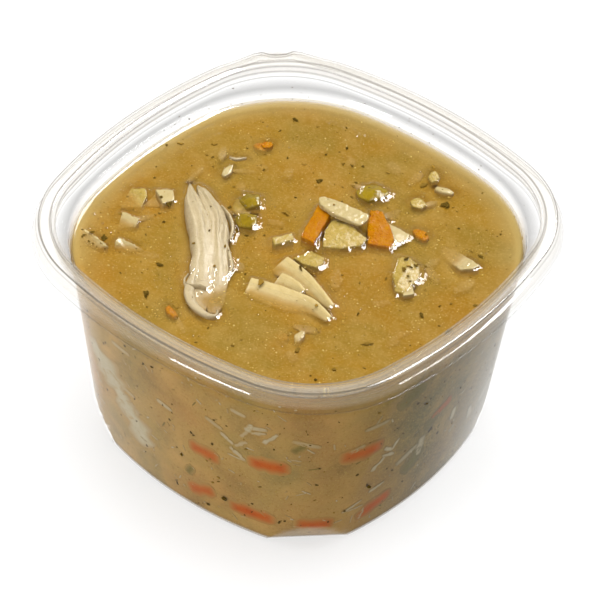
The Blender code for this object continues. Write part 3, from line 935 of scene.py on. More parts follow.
# %% Short cuts of noodle
floating_cut("noodle_bridge", noodle, "noodle",
             ((-5.6, 15.6, 4.2), (-4.6, 17.2, 4.3), (-1.5, 18.0, 4.4), (9.6, 20.0, 3.8),
              (10.6, 17.4, 3.6), (10.2, 15.0, 3.4), (2.7, 13.2, 4.1), (-3.6, 13.8, 4.1)),
             bottom=2.4, uneven=0.22, size=1.4)
floating_cut("noodle_behind", noodle, "noodle",
             ((13.8, 23.2, 1.1), (21.2, 23.8, 0.8), (22.0, 22.0, 0.6), (20.9, 19.3, 0.4),
              (21.0, 15.6, 0.2), (16.5, 19.0, 1.1)), bottom=-0.7, uneven=0.2)
floating_cut("noodle_under_herbs", noodle, "noodle",
             ((34.2, 8.6, 0.2), (37.9, 5.2, 0.6), (36.0, 2.7, 0.4), (34.0, 4.5, 0.3)), bottom=-1.2)
floating_cut("noodle_right", noodle, "noodle",
             ((44.2, 26.6, 0.9), (41.5, 27.4, 0.3), (36.0, 28.5, -0.8), (30.5, 29.0, -1.8),
              (30.0, 26.0, -2.0), (37.0, 23.2, -0.8), (41.0, 22.0, 0.3), (43.4, 24.2, 0.7)))
floating_cut("noodle_corner", noodle, "noodle",
             ((-45.3, -9.3, 0.5), (-41.1, -6.4, 0.9), (-38.0, -9.4, 0.7), (-39.4, -12.8, 0.7)),
             bottom=-2.8, lean=(0.4, -0.6), rounds=2)
floating_cut("noodle_left_upper", noodle, "noodle",
             ((-45.8, -22.8, 0.7), (-39.9, -22.2, 0.8), (-39.2, -24.4, -0.5),
              (-43.7, -27.4, -2.0)), bottom=-2.8)
floating_cut("noodle_left_wedge", noodle, "noodle",
             ((-48.4, -35.9, 0.9), (-44.2, -35.8, 0.7), (-38.6, -36.3, 0.3),
              (-41.1, -37.8, -1.0), (-47.6, -38.2, -1.4)), bottom=-2.4)
floating_cut("noodle_left_lower", noodle, "noodle",
             ((-38.7, -33.6, 0.8), (-38.6, -31.9, 0.7), (-34.3, -30.8, 0.2), (-30.4, -29.9, -0.6),
              (-34.2, -32.9, -1.6), (-38.0, -34.8, -0.9)), bottom=-2.2)
print("floating pieces:", len(floating))

# %% [markdown]
# ## Shredded chicken
#
# Cooked breast meat pulls apart along its fibres. The shred is two long lobes with a deep
# groove between them, a curl of loose meat round its lower end, and torn fibres beside it.
# Each is a strand lofted along a curved line. Fine ridges run along the lobes and wander a
# little, because fibres never lie quite straight.

# %% Chicken
LOBE_GRID, CURL_GRID, FIBRE_GRID = (150, 84), (110, 36), (60, 20)    # rows and points round


def strand(heap, stations, ridges, depth, seed, grid=LOBE_GRID, foot=-0.7):
    """A tapered strand with fibres; a station is x, y, half width and height of its crest."""
    rows, columns = grid
    line = smooth_path(stations, rows)
    count, height, wander = ridges
    points = []
    for row, (x, y, half, crest) in enumerate(line):
        t = row / (rows - 1.0)
        ahead = line[min(row + 1, rows - 1)] - line[max(row - 1, 0)]
        side = Vector((-ahead[1], ahead[0])).normalized()
        low = min(foot, crest - 0.5)
        for k in range(columns):
            angle = 2.0 * math.pi * k / columns
            across, up = math.cos(angle), math.sin(angle)
            run = across * half
            weave = noise.noise(Vector((run * 1.4, t * 7.0, seed)))
            fold = math.cos(math.pi * (across * count + wander * math.sin(4.0 * t + seed)))
            fine = noise.noise(Vector((run * 3.6, t * 16.0, seed + 5.0)))
            relief = height * (0.5 * fold + 0.7 * weave + 0.5 * fine)
            ragged = 1.0 + 0.14 * noise.noise(Vector((t * 16.0, seed, math.copysign(3.0, across))))
            spot = Vector((x, y)) + side * (run * ragged)
            if up >= 0.0:
                lift = (crest - low) * up**0.8 * (1.0 + relief)
            else:
                lift = depth * up
            points.append((spot.x, spot.y, LEVEL + low + lift))
    heap.add(points, capped_faces(rows, columns), depths(points))


meat = Heap()
LEFT_LOBE = ((-39.4, -1.2, 0.3, 0.9), (-36.6, -3.9, 1.4, 2.2), (-33.6, -6.6, 2.3, 3.4),
             (-29.7, -9.8, 3.1, 4.3), (-25.2, -13.2, 3.5, 4.4), (-20.2, -17.6, 3.5, 3.8),
             (-15.6, -22.4, 3.5, 2.7), (-12.2, -26.9, 3.6, 1.4), (-9.4, -31.0, 3.6, 0.3),
             (-6.8, -34.6, 3.2, -0.3), (-4.2, -37.4, 2.4, -0.8), (-2.6, -39.0, 1.3, -1.2))
RIGHT_LOBE = ((-37.2, -0.2, 0.5, 0.7), (-34.6, -1.4, 1.5, 1.7), (-32.0, -3.0, 2.3, 2.4),
              (-26.3, -6.6, 3.3, 3.4), (-21.4, -10.6, 3.7, 3.7), (-17.2, -15.2, 3.7, 3.2),
              (-13.2, -19.6, 3.4, 2.2), (-9.6, -23.2, 3.2, 1.1), (-6.8, -27.0, 3.2, 0.1),
              (-3.8, -30.9, 2.9, -0.5), (-1.4, -34.2, 2.3, -1.0), (0.0, -36.4, 1.2, -1.5))
strand(meat, LEFT_LOBE, (3.0, 0.10, 0.3), 1.6, 2.0)
strand(meat, RIGHT_LOBE, (2.5, 0.17, 0.5), 1.6, 9.0)
CURL = ((-13.8, -27.6, 0.6, 0.9), (-12.0, -31.4, 1.2, 1.0), (-9.8, -35.0, 1.5, 0.9),
        (-6.6, -37.9, 1.4, 0.8), (-2.8, -39.3, 1.2, 0.8), (0.6, -39.6, 0.9, 0.9),
        (2.6, -38.8, 0.6, 0.9), (2.4, -37.2, 0.4, 0.7), (1.4, -36.2, 0.2, 0.4))
FIBRES = (((-25.1, -3.9, 0.4, 2.6), (-21.2, -4.8, 0.6, 1.8), (-17.6, -7.6, 0.6, 1.2),
           (-15.0, -11.8, 0.4, 0.9)),
          ((-14.6, -13.8, 0.4, 1.6), (-10.6, -17.0, 0.6, 1.2), (-7.2, -20.0, 0.6, 1.0),
           (-6.2, -22.4, 0.3, 0.6)),
          ((-12.6, -33.6, 0.2, 0.5), (-10.4, -33.8, 0.4, 1.3), (-8.2, -32.4, 0.5, 1.6),
           (-6.2, -31.7, 0.3, 1.2)),
          ((-9.6, -35.9, 0.2, 0.2), (-13.4, -33.0, 0.3, 0.3), (-14.6, -30.0, 0.2, 0.2)),
          ((-39.3, 16.0, 0.2, 0.2), (-37.2, 16.6, 0.4, 0.5), (-35.4, 18.9, 0.2, 0.3)))
strand(meat, CURL, (1.0, 0.12, 0.2), 0.8, 4.0, CURL_GRID, foot=-0.3)
for number, fibre in enumerate(FIBRES):
    strand(meat, fibre, (0.5, 0.1, 0.2), 0.5, 11.0 + number, FIBRE_GRID, foot=-0.2)
shred = meat.piece("chicken_shreds", chicken, "chicken")
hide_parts("chicken_shred")
floating.append(shred)

# %% [markdown]
# ## Things sunk in the broth
#
# A clear view ends a few millimetres down, so pieces that hang lower show only as blurs. The
# higher ones are scattered clear of the pieces afloat, and the lower ones anywhere. One green
# bit lies between the two green cuts. Each heap below is one mesh of many carved cuts.

# %% Sunk pieces
chance = random.Random(11)


def small_cut(heap, x, y, top, length, width, turn, thick=1.6, tilt=0.3, faint=0.0):
    """Adds a small cut of food: its middle, the height of its top, sizes and turn in degrees."""
    cos, sin = math.cos(math.radians(turn)), math.sin(math.radians(turn))
    tops = []
    for corner in range(6):
        angle = math.pi * (corner + 0.5) / 3.0 + chance.uniform(-0.2, 0.2)
        along = 0.56 * length * math.cos(angle)
        across = 0.56 * width * math.sin(angle)
        height = top + tilt * chance.uniform(-1.0, 1.0)
        tops.append((x + along * cos - across * sin, y + along * sin + across * cos, height))
    points, faces = carved(tops, bottom=top - thick, voxel=0.36, rounds=3)
    heap.add(points, faces, depths(points, faint))


sunk_noodle, sunk_carrot, sunk_celery, sunk_meat, sunk_green = (Heap() for _ in range(5))
AFLOAT_BOXES = [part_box(node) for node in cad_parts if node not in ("tub", "soup")]


def clear_of_nodes(x, y, gap):
    """Whether a spot keeps a gap in mm from the box of every piece afloat in the frame."""
    for low, high in AFLOAT_BOXES:
        if low.x / MM - gap < x < high.x / MM + gap and low.y / MM - gap < y < high.y / MM + gap:
            return False
    return True


# heap, how many cuts, and their usual length and width in mm
for heap, count, length, width in ((sunk_noodle, 10, 5.5, 2.5), (sunk_carrot, 7, 4.5, 3.0),
                                   (sunk_celery, 5, 6.5, 4.0)):
    while count > 0:
        angle, reach = chance.uniform(0.0, 2.0 * math.pi), 50.0 * math.sqrt(chance.random())
        x, y = reach * math.cos(angle), reach * math.sin(angle)
        if clear_of_nodes(x, y, 2.0):
            small_cut(heap, x, y, chance.uniform(-1.6, 0.4), length * chance.uniform(0.6, 1.4),
                      width * chance.uniform(0.7, 1.2), chance.uniform(0.0, 180.0))
            count -= 1
pair = [(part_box(node)[0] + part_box(node)[1]) / (2.0 * MM)
        for node in ("celery_pair_far", "celery_pair_near")]
between = (pair[0] + pair[1]) / 2.0
small_cut(sunk_green, between.x - 3.0, between.y, -0.3, 8.5, 5.4, -40, faint=0.1)
DEEP_CUTS = 22
for number in range(DEEP_CUTS):
    angle, reach = chance.uniform(0.0, 2.0 * math.pi), 48.0 * math.sqrt(chance.uniform(0.1, 1.0))
    small_cut(chance.choice((sunk_noodle, sunk_meat, sunk_meat, sunk_celery)),
              reach * math.cos(angle), reach * math.sin(angle), chance.uniform(-2.0, -1.4),
              chance.uniform(3.5, 9.0), chance.uniform(1.6, 3.6), chance.uniform(0.0, 180.0))
floating.append(sunk_noodle.piece("sunk_noodles", noodle, "noodle"))
floating.append(sunk_carrot.piece("sunk_carrots", carrot, "carrot"))
floating.append(sunk_celery.piece("sunk_celery", celery_pale, "pale_celery"))
floating.append(sunk_green.piece("sunk_green_celery", celery_green, "celery"))
sunk_meat.piece("sunk_shreds", chicken, "chicken")

# %% [markdown]
# ## Pieces against the wall
#
# Where a piece touches the clear wall it shows sharply in its middle and fades towards its
# edges, which curve away into the broth. So each is a thin patch that follows the inside of
# the wall. Its middle reaches just into the plastic, past the broth's side, and its edges
# bend back behind it. It is placed by the angle round the tub and the height. A few places and
# rows are named, and the rest is scattered.

# %% Patches on the wall
TOUCHING, AWAY = 0.22, 0.45        # insets of a patch's middle and edge from the outer face
MM_PER_RADIAN = 57.0               # near the tub's half width, so a degree is about 1 mm


@functools.lru_cache(maxsize=None)
def wall_ring(height, inset):
    ring = np.array(body_plan(height, inset).ring(height))
    angles = np.degrees(np.arctan2(ring[:, 1], ring[:, 0]))
    order = np.argsort(angles)
    return angles[order], ring[order, 0], ring[order, 1]


def wall_spot(angle, height, inset):
    """The point on the body at an angle in degrees, a height and an inset in mm."""
    angles, ring_x, ring_y = wall_ring(round(height, 1), round(inset, 2))
    x, y = (np.interp(angle, angles, ring, period=360.0) for ring in (ring_x, ring_y))
    return float(x), float(y), height


def wall_patch(heap, path, widths, ragged=0.22, faint=0.0, grid=(22, 13), soft=3.4):
    """Adds a patch along a path of angle and height, with a width in mm at each end."""
    rows, columns = grid
    line = smooth_path([(math.radians(angle) * MM_PER_RADIAN, height) for angle, height in path], rows)
    seed = chance.uniform(0.0, 50.0)
    points, sunk = [], []
    for row, spot in enumerate(line):
        t = 2.0 * row / (rows - 1.0) - 1.0
        ahead = line[min(row + 1, rows - 1)] - line[max(row - 1, 0)]
        ahead = ahead / max(np.hypot(*ahead), 1e-6)
        width = widths[0] + (widths[1] - widths[0]) * (t + 1.0) / 2.0
        half = 0.5 * width * max(0.0, 1.0 - abs(t) ** 3.5) ** 0.45
        for column in range(columns):
            u = 2.0 * column / (columns - 1.0) - 1.0
            wobble = 1.0 + ragged * noise.noise(Vector((t * 2.6, math.copysign(2.0, u), seed)))
            along = spot[0] - ahead[1] * u * half * wobble
            height = spot[1] + ahead[0] * u * half * wobble
            edge = max(abs(u) ** soft, abs(t) ** (2.5 * soft))
            inset = TOUCHING + (AWAY - TOUCHING) * edge ** 14.0
            points.append(wall_spot(math.degrees(along / MM_PER_RADIAN), max(height, 2.0), inset))
            sunk.append(faint + 3.2 * edge)
    heap.add(points, grid_faces(rows, columns, closed=False), sunk)


def wall_strip(heap, angle, height, length, turn, widths, faint, ragged=0.4, soft=3.4):
    """Adds a straight patch about a middle, with its length in mm and its turn in degrees."""
    across = 0.5 * length * math.cos(math.radians(turn))
    rise = 0.5 * length * math.sin(math.radians(turn))
    wall_patch(heap, ((angle - across, height - rise), (angle + across, height + rise)),
               widths, ragged, faint, soft=soft)


wall_meat, wall_noodle, wall_carrot, wall_green = Heap(), Heap(), Heap(), Heap()
# a place on the wall is an angle in degrees and a height in mm
MEAT_TOP, MEAT_FOOT, MEAT_WIDTH = (-120.0, 44.0), (-103.0, 16.0), 13.0
SHRED_PLACES = ((-67.0, 39.0), (-60.0, 47.0), (-24.0, 31.0), (-29.0, 13.0))
# rows of carrot: first angle and height, steps of both, how many, and their width
CARROT_ROWS = ((-79.0, 29.0, 23.0, 5.0, 3, 7.5), (-79.0, 10.0, 18.0, 0.0, 4, 7.0))
GREEN_PLACES = ((-17.0, 53.0, 8.0), (-10.0, 20.0, 8.0), (-49.0, 44.0, 4.0), (-84.0, 17.0, 4.0))
for share in (0.2, 0.5, 0.8):
    angle, height = (a + (b - a) * share for a, b in zip(MEAT_TOP, MEAT_FOOT))
    wall_strip(wall_meat, angle, height, 18.0, -59.0, (0.8 * MEAT_WIDTH, MEAT_WIDTH), 0.1, 0.8)
for angle, height in SHRED_PLACES:
    for number in range(4):
        width = chance.uniform(0.7, 2.4)
        wall_strip(wall_meat, chance.gauss(angle, 3.0), chance.gauss(height, 2.5),
                   chance.uniform(4.0, 8.0), chance.uniform(-40.0, 70.0), (width, 0.8 * width),
                   chance.uniform(0.1, 0.9), 0.8)
for number in range(9):
    wall_strip(wall_noodle, chance.uniform(-112.0, -25.0), chance.uniform(34.0, 55.0),
               chance.uniform(5.0, 9.0), chance.uniform(-25.0, 35.0), (2.2, 2.0),
               chance.uniform(0.4, 1.3), 0.15)
for angle, height, step, climb, count, width in CARROT_ROWS:
    for number in range(count):
        wall_strip(wall_carrot, angle + step * number + chance.uniform(-1.5, 1.5),
                   height + climb * number + chance.uniform(-1.0, 1.0),
                   chance.uniform(11.0, 17.0), chance.uniform(-12.0, 22.0),
                   (width, width), chance.uniform(0.1, 0.3), 0.35, soft=2.3)
for angle, height, width in GREEN_PLACES:
    wall_strip(wall_green, angle, height, 1.4 * width, chance.uniform(20.0, 60.0),
               (width, width), 0.3, 0.45, soft=2.2)
SMALL_PATCHES, BACK_PATCHES = 400, 46
for number in range(SMALL_PATCHES):
    angle, height = chance.uniform(-180.0, 180.0), chance.uniform(4.0, LEVEL - 3.0)
    turn = chance.uniform(0.0, math.pi)
    reach = 0.4 + 1.8 * chance.random() ** 2
    ends = [(angle + side * reach * math.cos(turn), height + side * reach * math.sin(turn))
            for side in (-1.0, 1.0)]
    wall_patch(chance.choice((wall_meat, wall_meat, wall_noodle, wall_green)), ends,
               (chance.uniform(0.4, 1.1), chance.uniform(0.4, 0.9)), 0.4,
               chance.choice((0.2, 0.6, 1.0, 1.4)), (8, 5))
for number in range(BACK_PATCHES):
    angle, height = chance.uniform(-15.0, 232.0), chance.uniform(8.0, LEVEL - 8.0)
    turn, reach = chance.uniform(0.0, math.pi), chance.uniform(2.5, 5.5)
    ends = [(angle + side * reach * math.cos(turn), height + side * reach * math.sin(turn))
            for side in (-1.0, 1.0)]
    wall_patch(chance.choice((wall_meat, wall_noodle, wall_carrot, wall_green)), ends,
               (chance.uniform(2.0, 6.0), chance.uniform(2.0, 6.0)), 0.3,
               chance.uniform(0.2, 1.2))
# the second colour is painted shade: what the patches fade into on the dark side of the soup
AROUND, SHADED = (0.36, 0.225, 0.070), (0.155, 0.118, 0.042)   # what they fade into
pressed_carrot = food("pressed_carrot", ((0.42, 0.055, 0.004), (0.48, 0.080, 0.006),
                                         (0.50, 0.13, 0.02)), 0.7, 0.6, 0.05, 0.9, shine=0.0,
                      around=AROUND, shaded=SHADED)
pressed_meat = food("pressed_meat", ((0.40, 0.335, 0.20), (0.46, 0.40, 0.26), (0.52, 0.46, 0.32)),
                    0.4, 0.6, 0.05, 0.9, rich=0.7, shine=0.0, around=AROUND, shaded=SHADED)
pressed_green = food("pressed_green", ((0.10, 0.085, 0.020), (0.15, 0.125, 0.030),
                                       (0.22, 0.18, 0.06)), 0.7, 0.6, 0.05, 1.0, shine=0.0,
                     around=AROUND, shaded=SHADED)
wall_meat.piece("wall_shreds", pressed_meat, "chicken")
wall_noodle.piece("wall_noodles", pressed_meat, "noodle")
wall_carrot.piece("wall_carrots", pressed_carrot, "carrot")
wall_green.piece("wall_celery", pressed_green, "celery")

# %% [markdown]
# ## Broth
#
# The broth's side follows the inside of the shell and reaches a little way into its wall, so
# that no air shows between them. Its top is one fine grid of squares pressed into the tub's
# plan shape, because the surface has to be drawn up into small curves wherever it meets the
# wall or a floating piece, as any wet surface is. Those curves catch the light as thin white
# crescents.

# %% Broth side and core
SKIN_INSET = 0.35
CORE_INSET, CORE_DEPTH = 1.3, 2.6
# the second depth is how far down the side turns to the murky tone, which carries a painted grey
# reflection
CLOUDED_BY, MURKY_VEIL_BY = 2.2, 9.0      # how far down the side is cloudy and murky, in mm


def side_cover(height):
    """How much the side hides: little at the waterline, all of it a little way down."""
    share = min(1.0, max(0.0, (LEVEL - height) / CLOUDED_BY))
    return 0.15 + 0.85 * share * share * (3.0 - 2.0 * share)


side_heights = [FOOT_BEVEL + SKIN_INSET] + list(np.linspace(3.0, LEVEL - 3.0, 20))
side_heights += list(np.linspace(LEVEL - 2.5, LEVEL, 10))
rings = floor_rings(SKIN_INSET, SKIN_INSET)
rings += [body_plan(height, SKIN_INSET).ring(height) for height in side_heights]
cover = [side_cover(ring[0][2]) for ring in rings]
# the side gets painted shade at one side of the soup, and lower down a tone with a painted grey
# reflection
broth_side = new_piece("broth_side", flat(rings),
                       capped_faces(len(rings), RING_POINTS)[:-1], broth_skin("broth_side", False),
                       "broth", cover=np.repeat(cover, RING_POINTS),
                       low=[min(1.0, max(0.0, (LEVEL - point[2]) / MURKY_VEIL_BY))
                            for point in flat(rings)],
                       herby=[herby_share(*point) for point in flat(rings)])
broth_side.visible_shadow = False
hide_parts("soup")

core_heights = list(np.linspace(2.8, LEVEL - CORE_DEPTH, 18))
rings = floor_rings(CORE_INSET, 1.6)
rings += [body_plan(height, CORE_INSET).ring(height) for height in core_heights]
rings += [[(x * share, y * share, z) for x, y, z in rings[-1]] for share in (0.66, 0.33, 0.01)]
core = new_piece("broth_core", flat(rings),
                 capped_faces(len(rings), RING_POINTS), broth_core(), "broth")
print("broth side:", len(broth_side.data.polygons), "faces; core:", len(core.data.polygons))

# %% Wet curves
GRID_HALF = 154            # squares from the middle to the wall
CLIMB_STEEPNESS = 1.05
WALL_CLIMB, WALL_CLIMB_LENGTH = 1.3, 1.0
CREST_CELL = 1.6            # a piece is measured in cells this wide, in mm


def wall_loop(height, inset):
    """The broth's outline as x and y at a share of the way round, from one corner."""
    ring = np.array(body_plan(height, inset).ring(height))[:, :2]
    ring = np.roll(ring, -(SIDE_STEPS + CORNER_STEPS // 2), axis=0)
    ring = np.vstack([ring, ring[:1]])
    steps = np.hypot(*np.diff(ring, axis=0).T)
    shares = np.concatenate([[0.0], np.cumsum(steps)]) / steps.sum()
    return shares, ring[:, 0], ring[:, 1]


def square_shares(half):
    """For each grid point its distance from the middle and its share round that square."""
    i, j = np.meshgrid(np.arange(-half, half + 1), np.arange(-half, half + 1), indexing="ij")
    out = np.maximum(np.abs(i), np.abs(j))
    step = np.where(j == out, out - i, 0)
    step = np.where((i == -out) & (j < out), 3 * out - j, step)
    step = np.where((j == -out) & (i > -out), 5 * out + i, step)
    step = np.where((i == out) & (j > -out) & (j < out), 7 * out + j, step)
    return out.ravel(), (step / np.maximum(8 * out, 1)).ravel()


def waterline_tree(pieces):
    """Where pieces cross the level, with how high the wet curve climbs there."""
    spots = []
    for piece in pieces:
        points = [vertex.co / MM for vertex in piece.data.vertices]
        crests = {}
        for spot in points:
            cell = (round(spot.x / CREST_CELL), round(spot.y / CREST_CELL))
            crests[cell] = max(crests.get(cell, 0.0), spot.z - LEVEL)
        for spot in points:
            if abs(spot.z - LEVEL) < 0.25:
                i, j = round(spot.x / CREST_CELL), round(spot.y / CREST_CELL)
                near = [crests.get((i + a, j + b), 0.0) for a in (-1, 0, 1) for b in (-1, 0, 1)]
                spots.append((spot.x, spot.y, min(1.35, 0.8 * max(near))))
    tree = kdtree.KDTree(len(spots))
    for number, (x, y, climb) in enumerate(spots):
        tree.insert((x, y, 0.0), number)
    tree.balance()
    return tree, spots


# %% Broth surface
LIT_BAND, LIT_MOST, LIT_ACROSS = 8.5, 0.9, 42.0      # mm, share, mm
COVER_MOST, COVER_REACH = 0.75, 1.8                  # share hidden, and mm from a piece
tree, spots = waterline_tree(floating)
shares, loop_x, loop_y = wall_loop(LEVEL, SKIN_INSET)
out, way_round = square_shares(GRID_HALF)
grid_x = np.interp(way_round, shares, loop_x) * out / GRID_HALF
grid_y = np.interp(way_round, shares, loop_y) * out / GRID_HALF
from_wall = (1.0 - out / GRID_HALF) * loop_x.max()
points, from_piece = [], []
for x, y, gap in zip(grid_x, grid_y, from_wall):
    found, number, distance = tree.find((x, y, 0.0))
    climb = spots[number][2] + 0.01
    height = climb * math.exp(-distance * CLIMB_STEEPNESS / climb)
    height *= 1.0 + 0.15 * wave((x, y, 0.0), 1.6)
    height += 0.02 * wave((x, y, 3.0), 2.5) * min(1.0, gap / 4.0)
    height += WALL_CLIMB * math.exp(-gap / WALL_CLIMB_LENGTH)
    points.append((x, y, LEVEL + height))
    from_piece.append(distance)
cover = COVER_MOST * (1.0 - np.exp(-(np.array(from_piece) / COVER_REACH) ** 1.6))
cover = np.maximum(cover, 0.9 * np.clip((8.0 - from_wall) / 6.0, 0.0, 1.0))
cover *= np.clip(from_wall / 1.0, 0.0, 1.0) ** 0.7
cover[from_wall < 0.3] = 0.3
side = 2 * GRID_HALF + 1
broth_top = new_piece("broth_top", points, grid_faces(side, side, closed=False),
                      broth_skin("broth_top", True), "broth", cover=cover,
                      lit=(LIT_MOST * np.clip(1.0 - from_wall / LIT_BAND, 0.0, 1.0) ** 1.3
                           * np.clip(1.0 + (1.25 * grid_y - grid_x) / LIT_ACROSS, 0.0, 1.0)))
broth_top.visible_shadow = False
print("broth top:", len(broth_top.data.polygons), "faces")

# %% [markdown]
# ## Herbs, drops of fat and bubbles
#
# Dried herb swells into dark flakes of every size, from specks to a few millimetres. Drops of
# fat float as tiny yellow lenses, and are most crowded where the surface is open. They lie on
# whatever is highest below them, so a small height map of the broth and pieces is made first.

# %% Height of what is afloat
CELL = 0.5
CELLS = 260
SCATTER_HALF = 58.0         # random spots are tried this far from the middle, in mm
heights = np.full((CELLS, CELLS), LEVEL)
for piece in floating:
    coordinates = np.empty(3 * len(piece.data.vertices), dtype=np.float32)
    piece.data.vertices.foreach_get("co", coordinates)
    spread = coordinates.reshape(-1, 3) / MM
    columns = ((spread[:, :2] / CELL) + CELLS / 2).astype(int)
    np.maximum.at(heights, (columns[:, 0], columns[:, 1]), spread[:, 2])


def height_at(x, y):
    return float(heights[int(x / CELL + CELLS / 2), int(y / CELL + CELLS / 2)])


def inside_plan(x, y, margin):
    """Whether a point of the surface is at least a margin away from the wall."""
    edge_x, edge_y, _ = wall_spot(math.degrees(math.atan2(y, x)), LEVEL, WALL + margin)
    return math.hypot(x, y) < math.hypot(edge_x, edge_y)


print("highest thing afloat:", round(float(heights.max()) - LEVEL, 1), "mm over the broth")

# %% Herb flakes
def herb_finish():
    recipe = Recipe("herb")
    tone = recipe.blend(recipe.span(recipe.noise(0.6, detail=3.0), 0.35, 0.65),
                        (0.050, 0.029, 0.004), (0.120, 0.074, 0.012))
    deep = recipe.math("MULTIPLY", recipe.attribute("sunk"), -0.7)
    tone = recipe.blend(recipe.math("POWER", FADE_BASE, deep), BROTH, tone)
    return recipe.finish(tone, 0.55, recipe.bump(recipe.noise(0.5), 0.12),
                         Specular_IOR_Level=0.0)


def flake(heap, centre, size, up=(0.0, 0.0, 1.0), sunk=0.0, thick=0.16, fine=False):
    """Adds a torn bit of leaf: a ragged outline with a raised fold, and a back."""
    corners = 5 if fine else 9
    frame_z = Vector(up).normalized()
    frame_x = frame_z.orthogonal().normalized()
    frame_x.rotate(Matrix.Rotation(chance.uniform(0.0, 6.28), 3, frame_z))
    frame_y = frame_z.cross(frame_x)
    stretch = chance.uniform(0.35, 0.85)
    bend = chance.uniform(0.05, 0.25) * size
    middle = Vector(centre)
    outer = []
    for corner in range(corners):
        angle = 2.0 * math.pi * corner / corners
        reach = 0.72 * size * chance.uniform(0.35, 1.1)
        along, across = reach * math.cos(angle), reach * math.sin(angle) * stretch
        rise = bend * (1.0 - abs(along) / size)
        outer.append(middle + frame_x * along + frame_y * across + frame_z * rise)
    points = [middle + frame_z * (bend + thick)] + [p + frame_z * thick for p in outer]
    points += [middle + frame_z * (bend - thick)] + outer
    low = corners + 1
    faces = []
    for i in range(corners):
        j = (i + 1) % corners
        faces += [(0, 1 + i, 1 + j), (low, low + 1 + j, low + 1 + i)]
        faces.append((1 + i, low + 1 + i, low + 1 + j, 1 + j))
    heap.add(points, faces, [sunk] * len(points))


herbs = Heap()
LEAVES, LEAF_GAP = 34, 9.0      # the larger flakes and the least distance between two, in mm
leaves = []
while len(leaves) < LEAVES:
    x, y = chance.uniform(-SCATTER_HALF, SCATTER_HALF), chance.uniform(-SCATTER_HALF, SCATTER_HALF)
    if inside_plan(x, y, 1.5) and all(math.hypot(x - a, y - b) > LEAF_GAP for a, b in leaves):
        leaves.append((x, y))
        flake(herbs, (x, y, height_at(x, y) + 0.12), 0.8 + 2.1 * chance.random() ** 1.4,
              sunk=chance.choice((0.0, 0.0, 0.5, 1.2)))
SMALL_FLAKES = 260
placed = 0
while placed < SMALL_FLAKES:
    x, y = chance.uniform(-SCATTER_HALF, SCATTER_HALF), chance.uniform(-SCATTER_HALF, SCATTER_HALF)
    if inside_plan(x, y, 1.0):
        size = 0.3 + 0.9 * chance.random() ** 2.4
        sunk = chance.choice((0.0, 0.0, 0.4, 0.9, 1.5))
        flake(herbs, (x, y, height_at(x, y) + 0.1), size, sunk=sunk, thick=0.1, fine=True)
        placed += 1
for node in ("celery_herbed", "noodle_left_wedge"):
    low, high = (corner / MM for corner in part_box(node))
    for number in range(9):
        x, y = chance.uniform(low.x, high.x), chance.uniform(low.y, high.y)
        flake(herbs, (x, y, height_at(x, y) + 0.1), chance.uniform(0.6, 1.6), sunk=0.2)

# %% Herbs on the wall
def wall_flake(angle, height, size, inset=0.5, sunk=0.0, fine=True):
    spot = Vector(wall_spot(angle, height, inset))
    outward = Vector((spot.x, spot.y, -0.2 * math.hypot(spot.x, spot.y)))
    flake(herbs, spot, size, up=outward, sunk=sunk, thick=0.12, fine=fine)


WALL_LEAVES = 38                # the larger flakes on the two walls that meet at the front
for number in range(WALL_LEAVES):
    size = 0.8 + 1.8 * chance.random() ** 5
    wall_flake(chance.uniform(-115.0, 8.0), chance.uniform(4.0, LEVEL - 6.0), size, inset=0.32,
               fine=size < 1.5)
WALL_SPECKS, DRY_SPECKS = 420, 60      # behind broth, and on the bare wall over it
for number in range(WALL_SPECKS):
    wall_flake(chance.uniform(-180.0, 180.0), chance.uniform(3.0, LEVEL - 1.0),
               0.3 + 0.8 * chance.random() ** 2.4, inset=0.33,
               sunk=chance.choice((0.0, 0.5, 1.0, 1.6)))
for number in range(DRY_SPECKS):
    wall_flake(chance.uniform(35.0, 175.0), LEVEL + 1.0 + 8.0 * chance.random() ** 2,
               chance.uniform(0.2, 0.5), inset=WALL + 0.1)
herbs.piece("herb_flakes", herb_finish(), smooth=False)

# %% Drops of fat
def fat_finish():
    recipe = Recipe("fat")
    tone = recipe.blend(recipe.span(recipe.noise(1.2), 0.35, 0.65), (0.44, 0.31, 0.07),
                        (0.52, 0.40, 0.12))
    deep = recipe.math("MULTIPLY", recipe.attribute("sunk"), -1.0)
    tone = recipe.blend(recipe.math("POWER", FADE_BASE, deep), BROTH, tone)
    return recipe.finish(tone, 0.12, recipe.bump(recipe.noise(0.4), 0.01))


DROP_SIDES = 7


def drop(heap, centre, radius, up=(0.0, 0.0, 1.0), proud=0.45, sunk=0.0):
    """Adds a small lens: a top point, a shoulder ring and a foot ring."""
    frame_z = Vector(up).normalized()
    frame_x = frame_z.orthogonal().normalized()
    frame_y = frame_z.cross(frame_x)
    middle = Vector(centre)
    points = [middle + frame_z * proud * radius]
    for reach, rise in ((0.62, 0.74 * proud), (1.0, -0.15)):
        for side_number in range(DROP_SIDES):
            angle = 2.0 * math.pi * side_number / DROP_SIDES
            points.append(middle + frame_x * (reach * radius * math.cos(angle))
                          + frame_y * (reach * radius * math.sin(angle))
                          + frame_z * (rise * radius))
    faces = []
    for i in range(DROP_SIDES):
        j = (i + 1) % DROP_SIDES
        faces += [(0, 1 + i, 1 + j), (1 + i, 1 + DROP_SIDES + i, 1 + DROP_SIDES + j, 1 + j)]
    heap.add(points, faces, [sunk] * len(points))


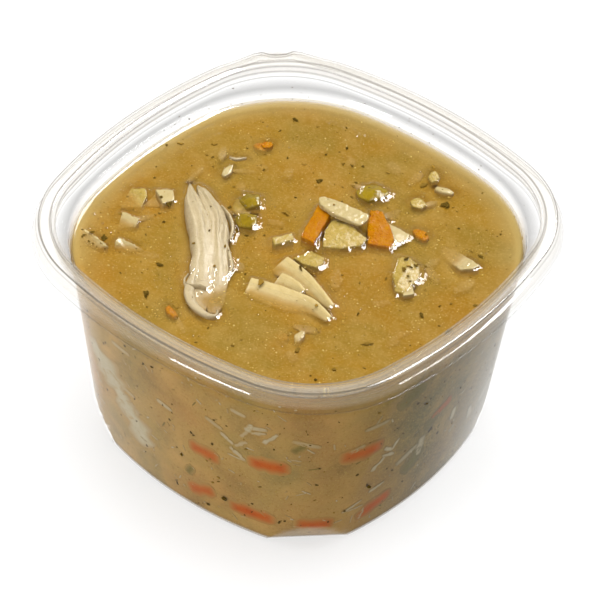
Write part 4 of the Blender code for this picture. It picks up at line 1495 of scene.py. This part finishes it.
fat = Heap()
DROPS, WALL_DROPS = 1500, 900
placed = 0
while placed < DROPS:
    x, y = chance.uniform(-SCATTER_HALF, SCATTER_HALF), chance.uniform(-SCATTER_HALF, SCATTER_HALF)
    crowd = 0.35 + 0.65 * min(1.0, max(0.0, 0.5 + 0.014 * (x - y)))
    crowd *= 0.45 + 1.1 * max(0.0, 0.5 + wave((x, y, 0.0), 12.0))
    if chance.random() < crowd and inside_plan(x, y, 1.0) and height_at(x, y) < LEVEL + 0.05:
        radius = 0.09 + 0.20 * chance.random() ** 4
        drop(fat, (x, y, LEVEL + 0.04), radius, sunk=chance.choice((0.0, 0.0, 0.3, 0.6)))
        placed += 1
for number in range(WALL_DROPS):
    angle, height = chance.uniform(-180.0, 180.0), chance.uniform(3.0, LEVEL - 0.5)
    spot = Vector(wall_spot(angle, height, 0.33))
    drop(fat, spot, 0.10 + 0.15 * chance.random() ** 2, up=(spot.x, spot.y, 0.0), proud=0.2,
         sunk=chance.choice((0.2, 0.5, 0.9)))
fat.piece("fat_drops", fat_finish())

# %% Bubbles
def bubble_finish():
    recipe = Recipe("bubble")
    shine = recipe.mirror(0.12, recipe.bump(recipe.noise(0.5), 0.01))
    clear = recipe.see_through((0.93, 0.90, 0.84))
    return recipe.surface(recipe.mix(facing_mirror(recipe, 0.12), clear, shine))


def bubble(heap, centre, radius):
    """Adds half of a small sphere standing on the surface."""
    points, rows, columns = [], 6, 12
    for row in range(rows):
        rise = 0.5 * math.pi * row / (rows - 0.6)
        for column in range(columns):
            angle = 2.0 * math.pi * column / columns
            points.append((centre[0] + radius * math.cos(rise) * math.cos(angle),
                           centre[1] + radius * math.cos(rise) * math.sin(angle),
                           centre[2] + radius * math.sin(rise)))
    faces = grid_faces(rows, columns) + [tuple(range((rows - 1) * columns, rows * columns))]
    heap.add(points, faces, [0.0] * len(points))


bubbles = Heap()
low, high = (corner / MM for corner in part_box("noodle_left_upper"))
for step in range(5):           # a row that trails below that noodle
    x, y = low.x - 5.0 + 2.2 * step, low.y - 0.5 - 0.7 * step
    bubble(bubbles, (x, y, height_at(x, y)), chance.uniform(0.35, 0.5))
for number in range(40):
    x, y = chance.uniform(-50.0, 50.0), chance.uniform(-50.0, 50.0)
    if inside_plan(x, y, 2.0):
        bubble(bubbles, (x, y, height_at(x, y)), chance.uniform(0.2, 0.38))
bubbles.piece("bubbles", bubble_finish()).visible_shadow = False
